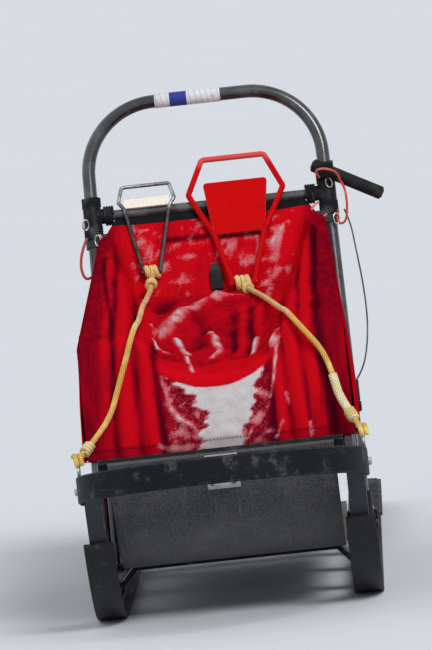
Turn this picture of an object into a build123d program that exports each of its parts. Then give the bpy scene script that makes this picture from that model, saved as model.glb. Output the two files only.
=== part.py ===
"""A raised toboggan dog sled with a nylon bag, two snow hooks, a claw brake and a drag mat.

The sled stands on its two runner bases. Millimetres; the origin is on the ground, half-way
between the runners and half-way along them. The front looks along -Y, +Y is the handlebar's end,
+X is on the right of someone who stands in front and looks at the sled, and +Z is up.
"""

import os
from math import atan2, cos, degrees, hypot, radians, sin, tan

from build123d import *

CLEAR = 0.3            # gap between pieces that seat on a curved face
RUNNING = 0.06         # radial gap of a pin in a turning sleeve
LARGE = 3000           # beyond the whole sled, for the blocks that trim it

# Runners: an aluminium beam with a slot along each side, over a plastic sliding base
RUNNER_SPACING = 510
RUNNER_WIDTH = 34
RUNNER_HEIGHT = 46
RUNNER_SLOT_HEIGHT = 16
RUNNER_SLOT_DEPTH = 7
RUNNER_TAIL_Y = 1225
UPTURN_Y = -580
UPTURN_RADIUS = 400    # of the sliding face
UPTURN_ANGLE = 75
BASE_WIDTH = 58
BASE_THICKNESS = 10
BASE_ANGLE = 56
TAIL_RISE = 14
TAIL_RUN = 56

# Footpads: ribbed rubber on the runners behind the bag
PAD_FRONT_Y = 340
PAD_LENGTH = 760
PAD_WIDTH = 72
PAD_THICKNESS = 8
PAD_RIB_HEIGHT = 4
PAD_RIB_WIDTH = 9
PAD_RIB_PITCH = 20

# Bridges: arched crosspieces that carry the bed over the runners
BRIDGE_YS = {"front": -545, "middle": -190, "rear": 120}
BRIDGE_LENGTH = 60
BRIDGE_THICKNESS = 12
BRIDGE_RISE = 32
BRIDGE_FOOT = 54
BRIDGE_FLAT = 410
BRIDGE_SLANT = 6       # from the foot's inner edge to the flat's end, across
BRIDGE_SIDE = 3        # by how much the slanted side is thicker

# Bed: one plastic sheet, flat under the load and curled up at the nose
BED_WIDTH = 440
BED_THICKNESS = 8
BED_REAR_Y = 205
BED_CURL_Y = -620
BED_CURL_RADIUS = 330
BED_CURL_ANGLE = 60
BED_NOSE = 78
NOSE_BAR_HEIGHT = 46
NOSE_BAR_THICKNESS = 14

# Brushbow: a flat plastic bow round the front
BOW_THICKNESS = 10
BOW_HEIGHT = 52
BOW_REAR_Y = -892
BOW_REAR_Z = 282
BOW_TIP_Y = -1228
BOW_TIP_Z = 328
BOW_SIDE = 165
BOW_TIP_WIDTH = 240
BOW_BENDS = [240, 220, 220, 240]
BOW_EDGE = 2.5         # its bevel

# Tow eye: a steel plate on the nose, with a bore for a snap hook
EYE_BORE_RADIUS = 12.5
EYE_THICKNESS = 10
EYE_RADIUS = 24
EYE_REACH = 62
EYE_FLANGE_WIDTH = 64
EYE_FLANGE_THICKNESS = 5
EYE_RISE = 15.5        # of its middle, above the foot of the nose's face
EYE_ROOT = 2           # how deep its neck starts behind the nose's face
EYE_ROOT_HALF = 28

# Handlebar hoop and its crossbars
HOOP_RADIUS = 14
HOOP_FOOT_Y = 190
HOOP_TOP_Y = 450
HOOP_TOP_Z = 970
HOOP_TOP_WIDTH = 492
HOOP_CORNER_RADIUS = 150
SOCKET_PLATE = 6
SOCKET_PLATE_SIZE = (46, 74)
SOCKET_WALL = 5
SOCKET_LENGTH = 62
CROSSBAR_RADIUS = 11
CROSSBAR_Z = 743
LOWER_BAR_RADIUS = 9
LOWER_BAR_Z = 330
CLAMP_WALL = 5
CLAMP_REACH = 30
COLLAR_HALF = 21       # half its length along the leg

# Side rails: tubes from the hoop forward to the bag's front corners, then down to the runners
RAIL_RADIUS = 10
RAIL_REAR_Y = 398
RAIL_REAR_Z = 695
RAIL_CORNER_X = 247
RAIL_CORNER_Y = -758
RAIL_CORNER_Z = 548
RAIL_BEND_RADIUS = 55
RAIL_FOOT_X = 246
RAIL_FOOT_Y = -845
RAIL_FOOT_Z = 160
RAIL_LEG_GAP = 0.7
POST_RADIUS = 8

# Bag: an open tub that stands on the bed, and a cover that hangs over the rails
FABRIC = 4
TUB_HALF_WIDTH = 205
TUB_WALL = 5
TUB_FRONT_Y = -765
TUB_FLOOR_FRONT_Y = -600
TUB_FLOOR_RISE = 66
TUB_FRONT_Z = 440
TUB_SHOULDER_Y = -690
TUB_RIM_DROP = 28
TUB_BAR_GAP = 2        # from its rear wall to the lower crossbar
COVER_GAP = 2          # from the rail to the fabric
COVER_HEM_Z = 332
COVER_HEM_HALF = 263
COVER_CORNER = 12
COVER_REAR_Y = 335
FLAP_LEG_GAP = 8
APRON_JOINT_GAP = 3
APRON_ANGLE = 26       # where its edge meets the crossbar, below level
APRON_DIP = (15, 45, 0.5, 1)  # at its edge: start and end in from the corner, depths there and at mid
CUT_MARGIN = 60        # by which the trimming blocks pass the cover above and below
# station y, then the trough's half width above, half width below, depth there, depth at mid
COVER_STATIONS = [
    (335, 200, 170, 6, 8),
    (250, 205, 172, 118, 128),
    (-150, 185, 140, 74, 92),
    (-830, 150, 92, 68, 92),
]
BUCKLE_SIZE = (26, 46, 8)
BUCKLE_Y = 266
BUCKLE_TILT = 57       # the steep panel's slope under it
BUCKLE_LIFT = 1
BUCKLE_EDGE = 2        # its bevel

# Snow hooks, laid over the crossbar with their arms down the bag's apron
HOOK_SLOPE = 50
HOOK_LIFT = 0.5
# x, rod radius, handle half widths low and high, handle y low and high,
# plate half widths low and high, plate y low and high, arm half widths high and low,
# arm end y, claw x
HOOKS = {
    "hook_steel": (-132, 4, 59, 50, 19, 58, 49, 49, 1, 25, 48, 17, -170, 36),
    "hook_red": (57, 6, 100, 66, 17, 106, 54, 68, -96, 43, 52, 22, -225, 45),
}
HOOK_BEND = 1.6        # times the rod's radius
HOOK_PLATE_THICKNESS = 4
HOOK_PLATE_CORNER = 8
CLAW_THICKNESS = 8
CLAW_LENGTH = 135
CLAW_GAP = 3           # from the crossbar
CLAW_WIDTH = 26
CLAW_ROOT = 11         # its width under the plate
CLAW_SHOULDER = 22     # from the plate down to its full width
CLAW_WAIST = 4         # how far its inner edge bows out, and its tip turns in
CLAW_WAIST_SHARE = 0.45

# Lines: yellow rope from each snow hook to an eye on the brushbow
LINE_RADIUS = 5.5
LINE_BEND = 0.45       # share of the shorter run that each bend takes
LINE_EYE_RADIUS = 14
LINE_EYE_HOLE = 7.5
LINE_EYE_THICKNESS = 6
LINE_EYE_EDGE = 1.5    # its bevel
LINE_EYE_FOOT = 5
LINE_EYE_PIN = 4
LINE_EYE_Y = -915

# Side grip on the right leg
GRIP_RADIUS = 14
GRIP_ANGLE = 28.5
GRIP_RISE = 48         # of its middle at the leg, above the crossbar
GRIP_INBOARD = 26      # from the leg's middle to its inner end
GRIP_LENGTH = 162
GRIP_GAP = 2
GRIP_CLAMP_SIZE = (38, 34)
GRIP_END = (4, 7)      # its end's bevel, along and across

# Rear crosspiece and the claw brake
CROSSPIECE_Y = 255
CROSSPIECE_DEPTH = 40
CROSSPIECE_HEIGHT = 25
CROSSPIECE_ROUND = 4
BRAKE_PIN_RADIUS = 6
BRAKE_PIN_Y = 302
BRAKE_PIN_Z = 80
BRAKE_HALF = 165
BRAKE_BAR_Y = 576
BRAKE_BAR_Z = 150
BRAKE_TUBE_RADIUS = 9
BRAKE_BEND_RADIUS = 45
BRAKE_SLEEVE_RADIUS = 11
BRAKE_SLEEVE_LENGTH = 26
BRAKE_EAR_GAP = 1
BRAKE_EAR_THICKNESS = 8
BRAKE_EAR_RADIUS = 13
BRAKE_EAR_ROOT = 11    # half its height on the crosspiece
BRAKE_CLAW_X = 100
BRAKE_CLAW_THICKNESS = 9
BRAKE_CLAW_DROP = 96
# outline of a claw: distance behind the bar's middle, and share of the drop
BRAKE_CLAW_OUTLINE = [(-11, 0.06), (-7, 0.5), (20, 1), (17, 0.4), (12, 0)]
BRAKE_COLLAR_RADIUS = 14
BRAKE_COLLAR_LENGTH = 30
BRAKE_STEP_SIZE = (150, 44)
BRAKE_STEP_WALL = 3

# Drag mat: lugged rubber belt, hinged on two straps behind the brake
MAT_HINGE_Y = 640
MAT_ROD_RADIUS = 5
MAT_WIDTH = 300
MAT_LENGTH = 322
MAT_THICKNESS = 8
MAT_LUG_HEIGHT = 20
MAT_LUG_LENGTH = 9
MAT_LUG_WIDTH = 52
MAT_LUG_PITCH = 52
MAT_LUG_COLUMNS = 4
MAT_KNUCKLE_RADIUS = 9
STRAP_X = 70
STRAP_WIDTH = 30
STRAP_THICKNESS = 4
STRAP_TAB = 22         # height of its riveted end on the crosspiece
KNUCKLE_GAP = 5
ROD_OVERHANG = 8
SHEET_LAP = 8          # how far the mat's sheet reaches in under its knuckles

# Worked out from the sizes above
RUNNER_X = RUNNER_SPACING / 2
RUNNER_TOP = BASE_THICKNESS + RUNNER_HEIGHT
BED_Z = RUNNER_TOP + BRIDGE_RISE + BRIDGE_THICKNESS
HOOP_FOOT_Z = RUNNER_TOP + SOCKET_PLATE
HOOP_LEAN = atan2(HOOP_TOP_Y - HOOP_FOOT_Y, HOOP_TOP_Z - HOOP_FOOT_Z)
HOOP_LENGTH = hypot(HOOP_TOP_Y - HOOP_FOOT_Y, HOOP_TOP_Z - HOOP_FOOT_Z)
HOOP_PLANE = Plane(
    origin=(0, HOOP_FOOT_Y, HOOP_FOOT_Z),
    x_dir=(1, 0, 0),
    z_dir=(0, -cos(HOOP_LEAN), sin(HOOP_LEAN)),
)

parts = {}


def leg_y(z):
    """Middle of the hoop's legs at a height."""
    return HOOP_FOOT_Y + (z - HOOP_FOOT_Z) * tan(HOOP_LEAN)


def leg_x(z):
    """Half the distance between the legs' middles at a height."""
    share = (z - HOOP_FOOT_Z) / (HOOP_TOP_Z - HOOP_FOOT_Z)
    return RUNNER_X + (HOOP_TOP_WIDTH / 2 - RUNNER_X) * share


def rail_at(y):
    """Middle of the right rail, x and z, at a place along its straight run."""
    rear_x = leg_x(RAIL_REAR_Z) - HOOP_RADIUS - RAIL_RADIUS - RAIL_LEG_GAP
    share = (RAIL_REAR_Y - y) / (RAIL_REAR_Y - RAIL_CORNER_Y)
    x = rear_x + (RAIL_CORNER_X - rear_x) * share
    z = RAIL_REAR_Z + (RAIL_CORNER_Z - RAIL_REAR_Z) * share
    return x, z


def tube(path, radius):
    """A round bar along a path."""
    return sweep(Plane(origin=path @ 0, z_dir=path % 0) * Circle(radius), path=path)


def bent_tube(points, bends, radius):
    """A round bar along straight runs with a bend radius at each corner."""
    return tube(FilletPolyline(*points, radius=bends), radius)


def bar_between(start, end, radius):
    """A straight round bar from point to point."""
    return tube(Line(start, end), radius)


def x_cylinder(radius, length, y, z, x=0):
    """A cylinder along X with its middle at a point."""
    return Pos(x, y, z) * Rot(0, 90, 0) * Cylinder(radius, length)


def mirrored(solid):
    """The same piece on the other side of the sled."""
    return mirror(solid, about=Plane.YZ)


def both_sides(name, solid):
    """Keep a right-hand piece and its mirror image."""
    parts[name + "_right"] = solid
    parts[name + "_left"] = mirrored(solid)


def curled_strip(low, high, tail_y, curl_y, centre_z, angle, nose=0):
    """Side outline of a strip that lies flat and curls up at the front, on the YZ plane."""
    outer = CenterArc((curl_y, centre_z), centre_z - low, -90, -angle)
    inner = CenterArc((curl_y, centre_z), centre_z - high, -90, -angle)
    ahead = Vector(-cos(radians(angle)), sin(radians(angle))) * nose
    outer_tip = outer @ 1 + ahead
    inner_tip = inner @ 1 + ahead
    edges = [Line((tail_y, low), outer @ 0), outer, inner, Line(inner @ 0, (tail_y, high))]
    edges.append(Line((tail_y, high), (tail_y, low)))
    edges.append(Line(outer_tip, inner_tip))
    if nose:
        edges.append(Line(outer @ 1, outer_tip))
        edges.append(Line(inner_tip, inner @ 1))
    return make_face(edges)


def runner_strip(low, high, width, tail_y=RUNNER_TAIL_Y, angle=UPTURN_ANGLE):
    """A layer of the right runner between two heights."""
    outline = curled_strip(low, high, tail_y, UPTURN_Y, UPTURN_RADIUS, angle)
    return Pos(RUNNER_X, 0, 0) * extrude(Plane.YZ * outline, amount=width / 2, both=True)


def make_runners():
    """Beams with a slot along both sides, and the sliding bases below them."""
    beam = runner_strip(BASE_THICKNESS, RUNNER_TOP, RUNNER_WIDTH)
    slot_low = BASE_THICKNESS + (RUNNER_HEIGHT - RUNNER_SLOT_HEIGHT) / 2
    slot = runner_strip(slot_low, slot_low + RUNNER_SLOT_HEIGHT, RUNNER_SLOT_DEPTH, RUNNER_TAIL_Y + 1)
    for side in (-1, 1):
        beam -= Pos(side * (RUNNER_WIDTH - RUNNER_SLOT_DEPTH) / 2, 0, 0) * slot
    tail = Polyline(
        (RUNNER_TAIL_Y + 1, -1),
        (RUNNER_TAIL_Y - TAIL_RUN, -1),
        (RUNNER_TAIL_Y - TAIL_RUN, 0),
        (RUNNER_TAIL_Y + 1, TAIL_RISE),
        close=True,
    )
    chamfer_cut = Pos(RUNNER_X, 0, 0) * extrude(Plane.YZ * make_face(tail), BASE_WIDTH, both=True)
    base = runner_strip(0, BASE_THICKNESS, BASE_WIDTH, angle=BASE_ANGLE) - chamfer_cut
    both_sides("runner", beam - chamfer_cut)
    both_sides("runner_base", base)


def make_footpads():
    """Rubber strips with cross ribs, to stand on."""
    pad = Pos(RUNNER_X, PAD_FRONT_Y + PAD_LENGTH / 2, RUNNER_TOP + PAD_THICKNESS / 2) * Box(
        PAD_WIDTH, PAD_LENGTH, PAD_THICKNESS
    )
    pad = fillet(pad.edges().filter_by(Axis.Z), PAD_THICKNESS)
    ribs = int((PAD_LENGTH - PAD_RIB_PITCH) // PAD_RIB_PITCH)
    rib = Box(PAD_WIDTH - 2 * PAD_THICKNESS, PAD_RIB_WIDTH, PAD_RIB_HEIGHT)
    middle = Pos(RUNNER_X, PAD_FRONT_Y + PAD_LENGTH / 2, RUNNER_TOP + PAD_THICKNESS + PAD_RIB_HEIGHT / 2)
    for place in GridLocations(0, PAD_RIB_PITCH, 1, ribs):
        pad += middle * place * rib
    both_sides("footpad", pad)


def make_bridges():
    """Arched crosspieces bolted to the runners."""
    foot_outer = RUNNER_X + BRIDGE_FOOT / 2
    foot_inner = RUNNER_X - BRIDGE_FOOT / 2
    flat = BRIDGE_FLAT / 2
    crown = (flat - BRIDGE_SLANT, RUNNER_TOP + BRIDGE_RISE)
    lower = [(foot_outer, RUNNER_TOP), (foot_inner, RUNNER_TOP), crown]
    upper = [(x + BRIDGE_SIDE, z + BRIDGE_THICKNESS) for x, z in lower[:0:-1]]
    upper.append((foot_outer, RUNNER_TOP + BRIDGE_THICKNESS))
    right = lower[::-1] + upper[::-1]
    left = [(-x, z) for x, z in right]
    outline = make_face(Polyline(*right, *left[::-1], close=True))
    arch = extrude(Plane.XZ * outline, BRIDGE_LENGTH / 2, both=True)
    for place, y in BRIDGE_YS.items():
        parts["bridge_" + place] = Pos(0, y, 0) * arch


def bed_outline(low, high, nose):
    """Side outline of a layer of the bed, counted from the bed's underside."""
    centre_z = BED_Z + BED_CURL_RADIUS
    return curled_strip(
        BED_Z + low, BED_Z + high, BED_REAR_Y, BED_CURL_Y, centre_z, BED_CURL_ANGLE, nose
    )


def nose_plane(offset):
    """Plane on the bed's straight nose: local y runs up the nose, local z points forward."""
    angle = radians(BED_CURL_ANGLE)
    start_y = BED_CURL_Y - BED_CURL_RADIUS * sin(angle)
    start_z = BED_Z + BED_CURL_RADIUS * (1 - cos(angle))
    normal = Vector(0, -sin(angle), -cos(angle))
    return Plane(
        origin=Vector(0, start_y, start_z) + normal * offset,
        x_dir=(1, 0, 0),
        z_dir=normal,
    )


def make_bed():
    """The bed sheet, the bar behind its nose and the tow eye on its face."""
    bed = extrude(Plane.YZ * bed_outline(0, BED_THICKNESS, BED_NOSE), BED_WIDTH / 2, both=True)
    parts["bed"] = bed
    behind = nose_plane(-BED_THICKNESS - NOSE_BAR_THICKNESS)
    bar_width = RUNNER_SPACING - RUNNER_WIDTH
    bar = behind * Pos(0, BED_NOSE - NOSE_BAR_HEIGHT / 2, NOSE_BAR_THICKNESS / 2) * Box(
        bar_width, NOSE_BAR_HEIGHT, NOSE_BAR_THICKNESS
    )
    parts["nose_bar"] = bar
    face = nose_plane(0)
    flange = face * Pos(0, BED_NOSE / 2, EYE_FLANGE_THICKNESS / 2) * Box(
        EYE_FLANGE_WIDTH, BED_NOSE, EYE_FLANGE_THICKNESS
    )
    eye_y = face.origin.Y - EYE_REACH
    eye_z = face.origin.Z + EYE_RISE
    lower_edge = (EYE_RISE - EYE_THICKNESS / 2) / tan(radians(BED_CURL_ANGLE))
    root_y = face.origin.Y - lower_edge + EYE_ROOT
    neck = make_face(
        Polyline(
            (-EYE_ROOT_HALF, root_y),
            (EYE_ROOT_HALF, root_y),
            (EYE_RADIUS, eye_y),
            (-EYE_RADIUS, eye_y),
            close=True,
        )
    ) + Pos(0, eye_y) * Circle(EYE_RADIUS)
    neck -= Pos(0, eye_y) * Circle(EYE_BORE_RADIUS)
    plate = Pos(0, 0, eye_z) * extrude(neck, EYE_THICKNESS / 2, both=True)
    past_nose = bed_outline(0, BED_THICKNESS, BED_NOSE + EYE_THICKNESS)
    parts["tow_eye"] = flange + plate - extrude(Plane.YZ * past_nose, BED_WIDTH / 2, both=True)


def bow_plane():
    """Plane of the brushbow: local y runs to the front."""
    direction = Vector(0, BOW_TIP_Y - BOW_REAR_Y, BOW_TIP_Z - BOW_REAR_Z).normalized()
    across = Vector(-1, 0, 0)
    return Plane(origin=(0, BOW_REAR_Y, BOW_REAR_Z), x_dir=across, z_dir=across.cross(direction))


def make_brushbow():
    """A flat strip bent round the front, bolted outside the runner tips."""
    half = RUNNER_X + RUNNER_WIDTH / 2 + BOW_THICKNESS / 2
    depth = hypot(BOW_TIP_Y - BOW_REAR_Y, BOW_TIP_Z - BOW_REAR_Z) - BOW_THICKNESS / 2
    tip = BOW_TIP_WIDTH / 2
    points = [(-half, 0), (-half, BOW_SIDE), (-tip, depth), (tip, depth), (half, BOW_SIDE), (half, 0)]
    path = bow_plane() * FilletPolyline(*points, radius=BOW_BENDS)
    section = Plane(origin=path @ 0, x_dir=(1, 0, 0), z_dir=path % 0)
    strip = Rectangle(BOW_THICKNESS, BOW_HEIGHT)
    strip = chamfer(strip.vertices(), BOW_EDGE)
    parts["brushbow"] = sweep(section * strip, path=path)


def hoop_path():
    """Middle line of the handlebar hoop."""
    top = HOOP_TOP_WIDTH / 2
    points = [(-RUNNER_X, 0), (-top, HOOP_LENGTH), (top, HOOP_LENGTH), (RUNNER_X, 0)]
    return HOOP_PLANE * FilletPolyline(*points, radius=HOOP_CORNER_RADIUS)


def make_handlebar():
    """The hoop, its sockets on the runners, the two crossbars and their joints."""
    path = hoop_path()
    floor = Pos(0, 0, HOOP_FOOT_Z - LARGE / 2) * Box(LARGE, LARGE, LARGE)
    parts["handlebar"] = tube(path, HOOP_RADIUS) - floor
    legs = tube(path, HOOP_RADIUS + CLEAR)

    top = (leg_x(HOOP_FOOT_Z + SOCKET_LENGTH), SOCKET_LENGTH)
    foot = HOOP_PLANE * Line((RUNNER_X, -HOOP_RADIUS), top)
    sleeve = tube(foot, HOOP_RADIUS + SOCKET_WALL) - floor
    plate = Pos(RUNNER_X, HOOP_FOOT_Y, RUNNER_TOP + SOCKET_PLATE / 2) * Box(
        *SOCKET_PLATE_SIZE, SOCKET_PLATE
    )
    both_sides("leg_socket", sleeve - legs + plate)

    for name, z, radius in (
        ("crossbar_upper", CROSSBAR_Z, CROSSBAR_RADIUS),
        ("crossbar_lower", LOWER_BAR_Z, LOWER_BAR_RADIUS),
    ):
        parts[name] = x_cylinder(radius, 2 * leg_x(z), leg_y(z), z) - legs
    for name, z, radius in (
        ("upper_joint", CROSSBAR_Z, CROSSBAR_RADIUS),
        ("lower_joint", LOWER_BAR_Z, LOWER_BAR_RADIUS),
    ):
        along = (z - HOOP_FOOT_Z) / cos(HOOP_LEAN)
        ends = [(leg_x(z), along + side * COLLAR_HALF) for side in (-1, 1)]
        collar = tube(HOOP_PLANE * Line(*ends), HOOP_RADIUS + CLAMP_WALL)
        arm_length = HOOP_RADIUS + CLAMP_REACH
        arm = x_cylinder(radius + CLAMP_WALL, arm_length, leg_y(z), z, leg_x(z) - arm_length / 2)
        bar = x_cylinder(radius + CLEAR, 4 * arm_length, leg_y(z), z, leg_x(z) - 2 * arm_length)
        both_sides(name, collar + arm - legs - bar)


def rail_points():
    """Corners of the right rail's middle line, rear end first."""
    rear_x, rear_z = rail_at(RAIL_REAR_Y)
    return [
        (rear_x, RAIL_REAR_Y, rear_z),
        (RAIL_CORNER_X, RAIL_CORNER_Y, RAIL_CORNER_Z),
        (RAIL_FOOT_X, RAIL_FOOT_Y, RAIL_FOOT_Z),
    ]


def make_rails():
    """Side rails with a bend at the front, and the posts that carry them on the bridges."""
    rail = bent_tube(rail_points(), RAIL_BEND_RADIUS, RAIL_RADIUS)
    rail -= runner_strip(-RAIL_RADIUS, RUNNER_TOP + CLEAR, BASE_WIDTH)
    both_sides("side_rail", max(rail.solids(), key=lambda piece: piece.volume))
    around_rail = bent_tube(rail_points(), RAIL_BEND_RADIUS, RAIL_RADIUS + CLEAR)
    for place in ("front", "middle"):
        y = BRIDGE_YS[place]
        top_x, top_z = rail_at(y)
        seat_z = RUNNER_TOP + BRIDGE_THICKNESS
        post = bar_between((RUNNER_X, y, RUNNER_TOP), (top_x, y, top_z), POST_RADIUS)
        post -= Pos(0, 0, seat_z - LARGE / 2) * Box(LARGE, LARGE, LARGE)
        post -= around_rail
        both_sides("post_" + place, max(post.solids(), key=lambda piece: piece.volume))


def make_tub():
    """The open tub of the bag, standing on the bed between the rails."""
    floor_z = BED_Z + BED_THICKNESS
    gap = (LOWER_BAR_RADIUS + TUB_BAR_GAP) / cos(HOOP_LEAN)
    tall = make_face(
        Polyline(
            (leg_y(floor_z) - gap, floor_z),
            (TUB_FLOOR_FRONT_Y, floor_z),
            (TUB_FRONT_Y, floor_z + TUB_FLOOR_RISE),
            (TUB_FRONT_Y, HOOP_TOP_Z),
            (leg_y(HOOP_TOP_Z) - gap, HOOP_TOP_Z),
            close=True,
        )
    )
    rim_rear_z = rail_at(COVER_REAR_Y)[1] - TUB_RIM_DROP
    rim_front_z = rail_at(TUB_SHOULDER_Y)[1] - TUB_RIM_DROP
    above = make_face(
        Polyline(
            (LARGE, rim_rear_z),
            (COVER_REAR_Y, rim_rear_z),
            (TUB_SHOULDER_Y, rim_front_z),
            (TUB_FRONT_Y - 1, TUB_FRONT_Z),
            (TUB_FRONT_Y - 1, LARGE),
            (LARGE, LARGE),
            close=True,
        )
    )
    hollow = offset(tall, amount=-TUB_WALL, kind=Kind.INTERSECTION)
    tub = extrude(Plane.YZ * (tall - above), TUB_HALF_WIDTH, both=True)
    tub -= extrude(Plane.YZ * hollow, TUB_HALF_WIDTH - TUB_WALL, both=True)
    parts["bag_tub"] = tub


def cover_station(y):
    """Trough sizes of the cover at a place along the sled, between the table's rows."""
    rows = sorted(COVER_STATIONS)
    for near, far in zip(rows, rows[1:]):
        if near[0] <= y <= far[0]:
            share = (y - near[0]) / (far[0] - near[0])
            return [a + (b - a) * share for a, b in zip(near[1:], far[1:])]
    raise ValueError("no station at %s" % y)


def cover_section(y, inset, hem_z):
    """Closed outline across the cover, its trough on top, as a face square to Y."""
    rail_x, rail_z = rail_at(y)
    half = rail_x + RAIL_RADIUS + COVER_GAP + FABRIC - inset
    top = rail_z + RAIL_RADIUS + COVER_GAP + FABRIC - inset
    hem = COVER_HEM_HALF - inset
    corner = COVER_CORNER + FABRIC - inset
    high, low, depth, mid = cover_station(y)
    high += inset / 2
    low += inset / 2
    bow = corner * (1 - cos(radians(45)))
    right = [
        Line((hem, hem_z), (half, top - corner)),
        ThreePointArc((half, top - corner), (half - bow, top - bow), (half - corner, top)),
        Line((half - corner, top), (high, top)),
        Line((high, top), (low, top - depth)),
    ]
    left = [mirror(edge, about=Plane.YZ) for edge in right]
    trough = ThreePointArc((low, top - depth), (0, top - mid), (-low, top - depth))
    outline = make_face(right + left + [trough, Line((-hem, hem_z), (hem, hem_z))])
    return Plane(origin=(0, y, 0), x_dir=(1, 0, 0), z_dir=(0, -1, 0)) * outline


def apron_section(y, half, edge_z, high, low, depth, mid):
    """Closed outline across the apron, a sheet one fabric thick."""
    upper = []
    lower = []
    for drop, edges in ((0, upper), (FABRIC, lower)):
        top = edge_z - drop
        for side in (1, -1):
            edges.append(Line((side * half, top), (side * high, top)))
            edges.append(Line((side * high, top), (side * low, top - depth)))
        edges.append(ThreePointArc((low, top - depth), (0, top - mid), (-low, top - depth)))
    ends = [Line((side * half, edge_z), (side * half, edge_z - FABRIC)) for side in (1, -1)]
    outline = make_face(upper + lower + ends)
    return Plane(origin=(0, y, 0), x_dir=(1, 0, 0), z_dir=(0, -1, 0)) * outline


def front_cut(offset_y):
    """Everything ahead of the cover's leaning front face, moved back by an offset."""
    foot_y = rail_front_y(COVER_HEM_Z) - COVER_GAP - FABRIC + offset_y
    top_z = RAIL_CORNER_Z + CUT_MARGIN
    top_y = rail_front_y(top_z) - COVER_GAP - FABRIC + offset_y
    low_z = COVER_HEM_Z - CUT_MARGIN
    low_y = foot_y - (top_y - foot_y) * CUT_MARGIN / (top_z - COVER_HEM_Z)
    points = [(low_y, low_z), (top_y, top_z), (-LARGE, top_z), (-LARGE, low_z)]
    return extrude(Plane.YZ * make_face(Polyline(*points, close=True)), LARGE, both=True)


def rear_cut():
    """Everything behind the flaps' rear edges, which run down ahead of the legs and their joints."""
    back = (HOOP_RADIUS + CLAMP_WALL + FLAP_LEG_GAP) / cos(HOOP_LEAN)
    low, high = COVER_HEM_Z - CUT_MARGIN, HOOP_TOP_Z
    points = [(leg_y(low) - back, low), (leg_y(high) - back, high), (LARGE, high), (LARGE, low)]
    return extrude(Plane.YZ * make_face(Polyline(*points, close=True)), LARGE, both=True)


def rail_front_y(z):
    """Front of the rails' down runs at a height."""
    run = (RAIL_FOOT_Y - RAIL_CORNER_Y) / (RAIL_FOOT_Z - RAIL_CORNER_Z)
    return RAIL_CORNER_Y + (z - RAIL_CORNER_Z) * run - RAIL_RADIUS / cos(atan2(abs(run), 1))


def make_cover():
    """The cover: a trough between the rails, side flaps, a front panel and the rear apron."""
    ys = [row[0] for row in COVER_STATIONS]
    outer = loft([cover_section(y, 0, COVER_HEM_Z) for y in ys], ruled=True) - front_cut(0)
    inner = loft([cover_section(y, FABRIC, COVER_HEM_Z - CUT_MARGIN / 2) for y in ys], ruled=True)
    inner -= front_cut(FABRIC)
    shell = outer - inner - rear_cut()
    rail_x, rail_z = rail_at(COVER_REAR_Y)
    rear_top = rail_z + RAIL_RADIUS + COVER_GAP + FABRIC
    rear_half = rail_x + RAIL_RADIUS + COVER_GAP - COVER_CORNER + FABRIC
    reach = CROSSBAR_RADIUS + CLEAR
    end_y = leg_y(CROSSBAR_Z) - reach * cos(radians(APRON_ANGLE))
    end_z = CROSSBAR_Z - reach * sin(radians(APRON_ANGLE))
    end_half = leg_x(CROSSBAR_Z) - HOOP_RADIUS - CLAMP_REACH - APRON_JOINT_GAP
    start, end, depth, mid = APRON_DIP
    trough = cover_station(COVER_REAR_Y)
    apron = loft(
        [
            apron_section(COVER_REAR_Y, rear_half, rear_top, *trough),
            apron_section(end_y, end_half, end_z, end_half - start, end_half - end, depth, mid),
        ],
        ruled=True,
    )
    parts["bag_cover"] = shell + apron
    high, low, depth, mid = cover_station(BUCKLE_Y)
    top = rail_at(BUCKLE_Y)[1] + RAIL_RADIUS + COVER_GAP + FABRIC - mid
    width, length, height = BUCKLE_SIZE
    place = Pos(0, BUCKLE_Y, top) * Rot(BUCKLE_TILT, 0, 0)
    buckle = place * Pos(0, 0, height / 2 + BUCKLE_LIFT) * Box(width, length, height)
    parts["bag_buckle"] = chamfer(buckle.edges(), BUCKLE_EDGE)


def hook_plane(x, lift):
    """Plane of a snow hook: local y runs up over the crossbar, local z away from the bag."""
    slope = radians(HOOK_SLOPE)
    normal = Vector(0, -sin(slope), cos(slope))
    seat = Vector(x, leg_y(CROSSBAR_Z), CROSSBAR_Z)
    return Plane(origin=seat + normal * (CROSSBAR_RADIUS + lift), x_dir=(1, 0, 0), z_dir=normal)


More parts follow.
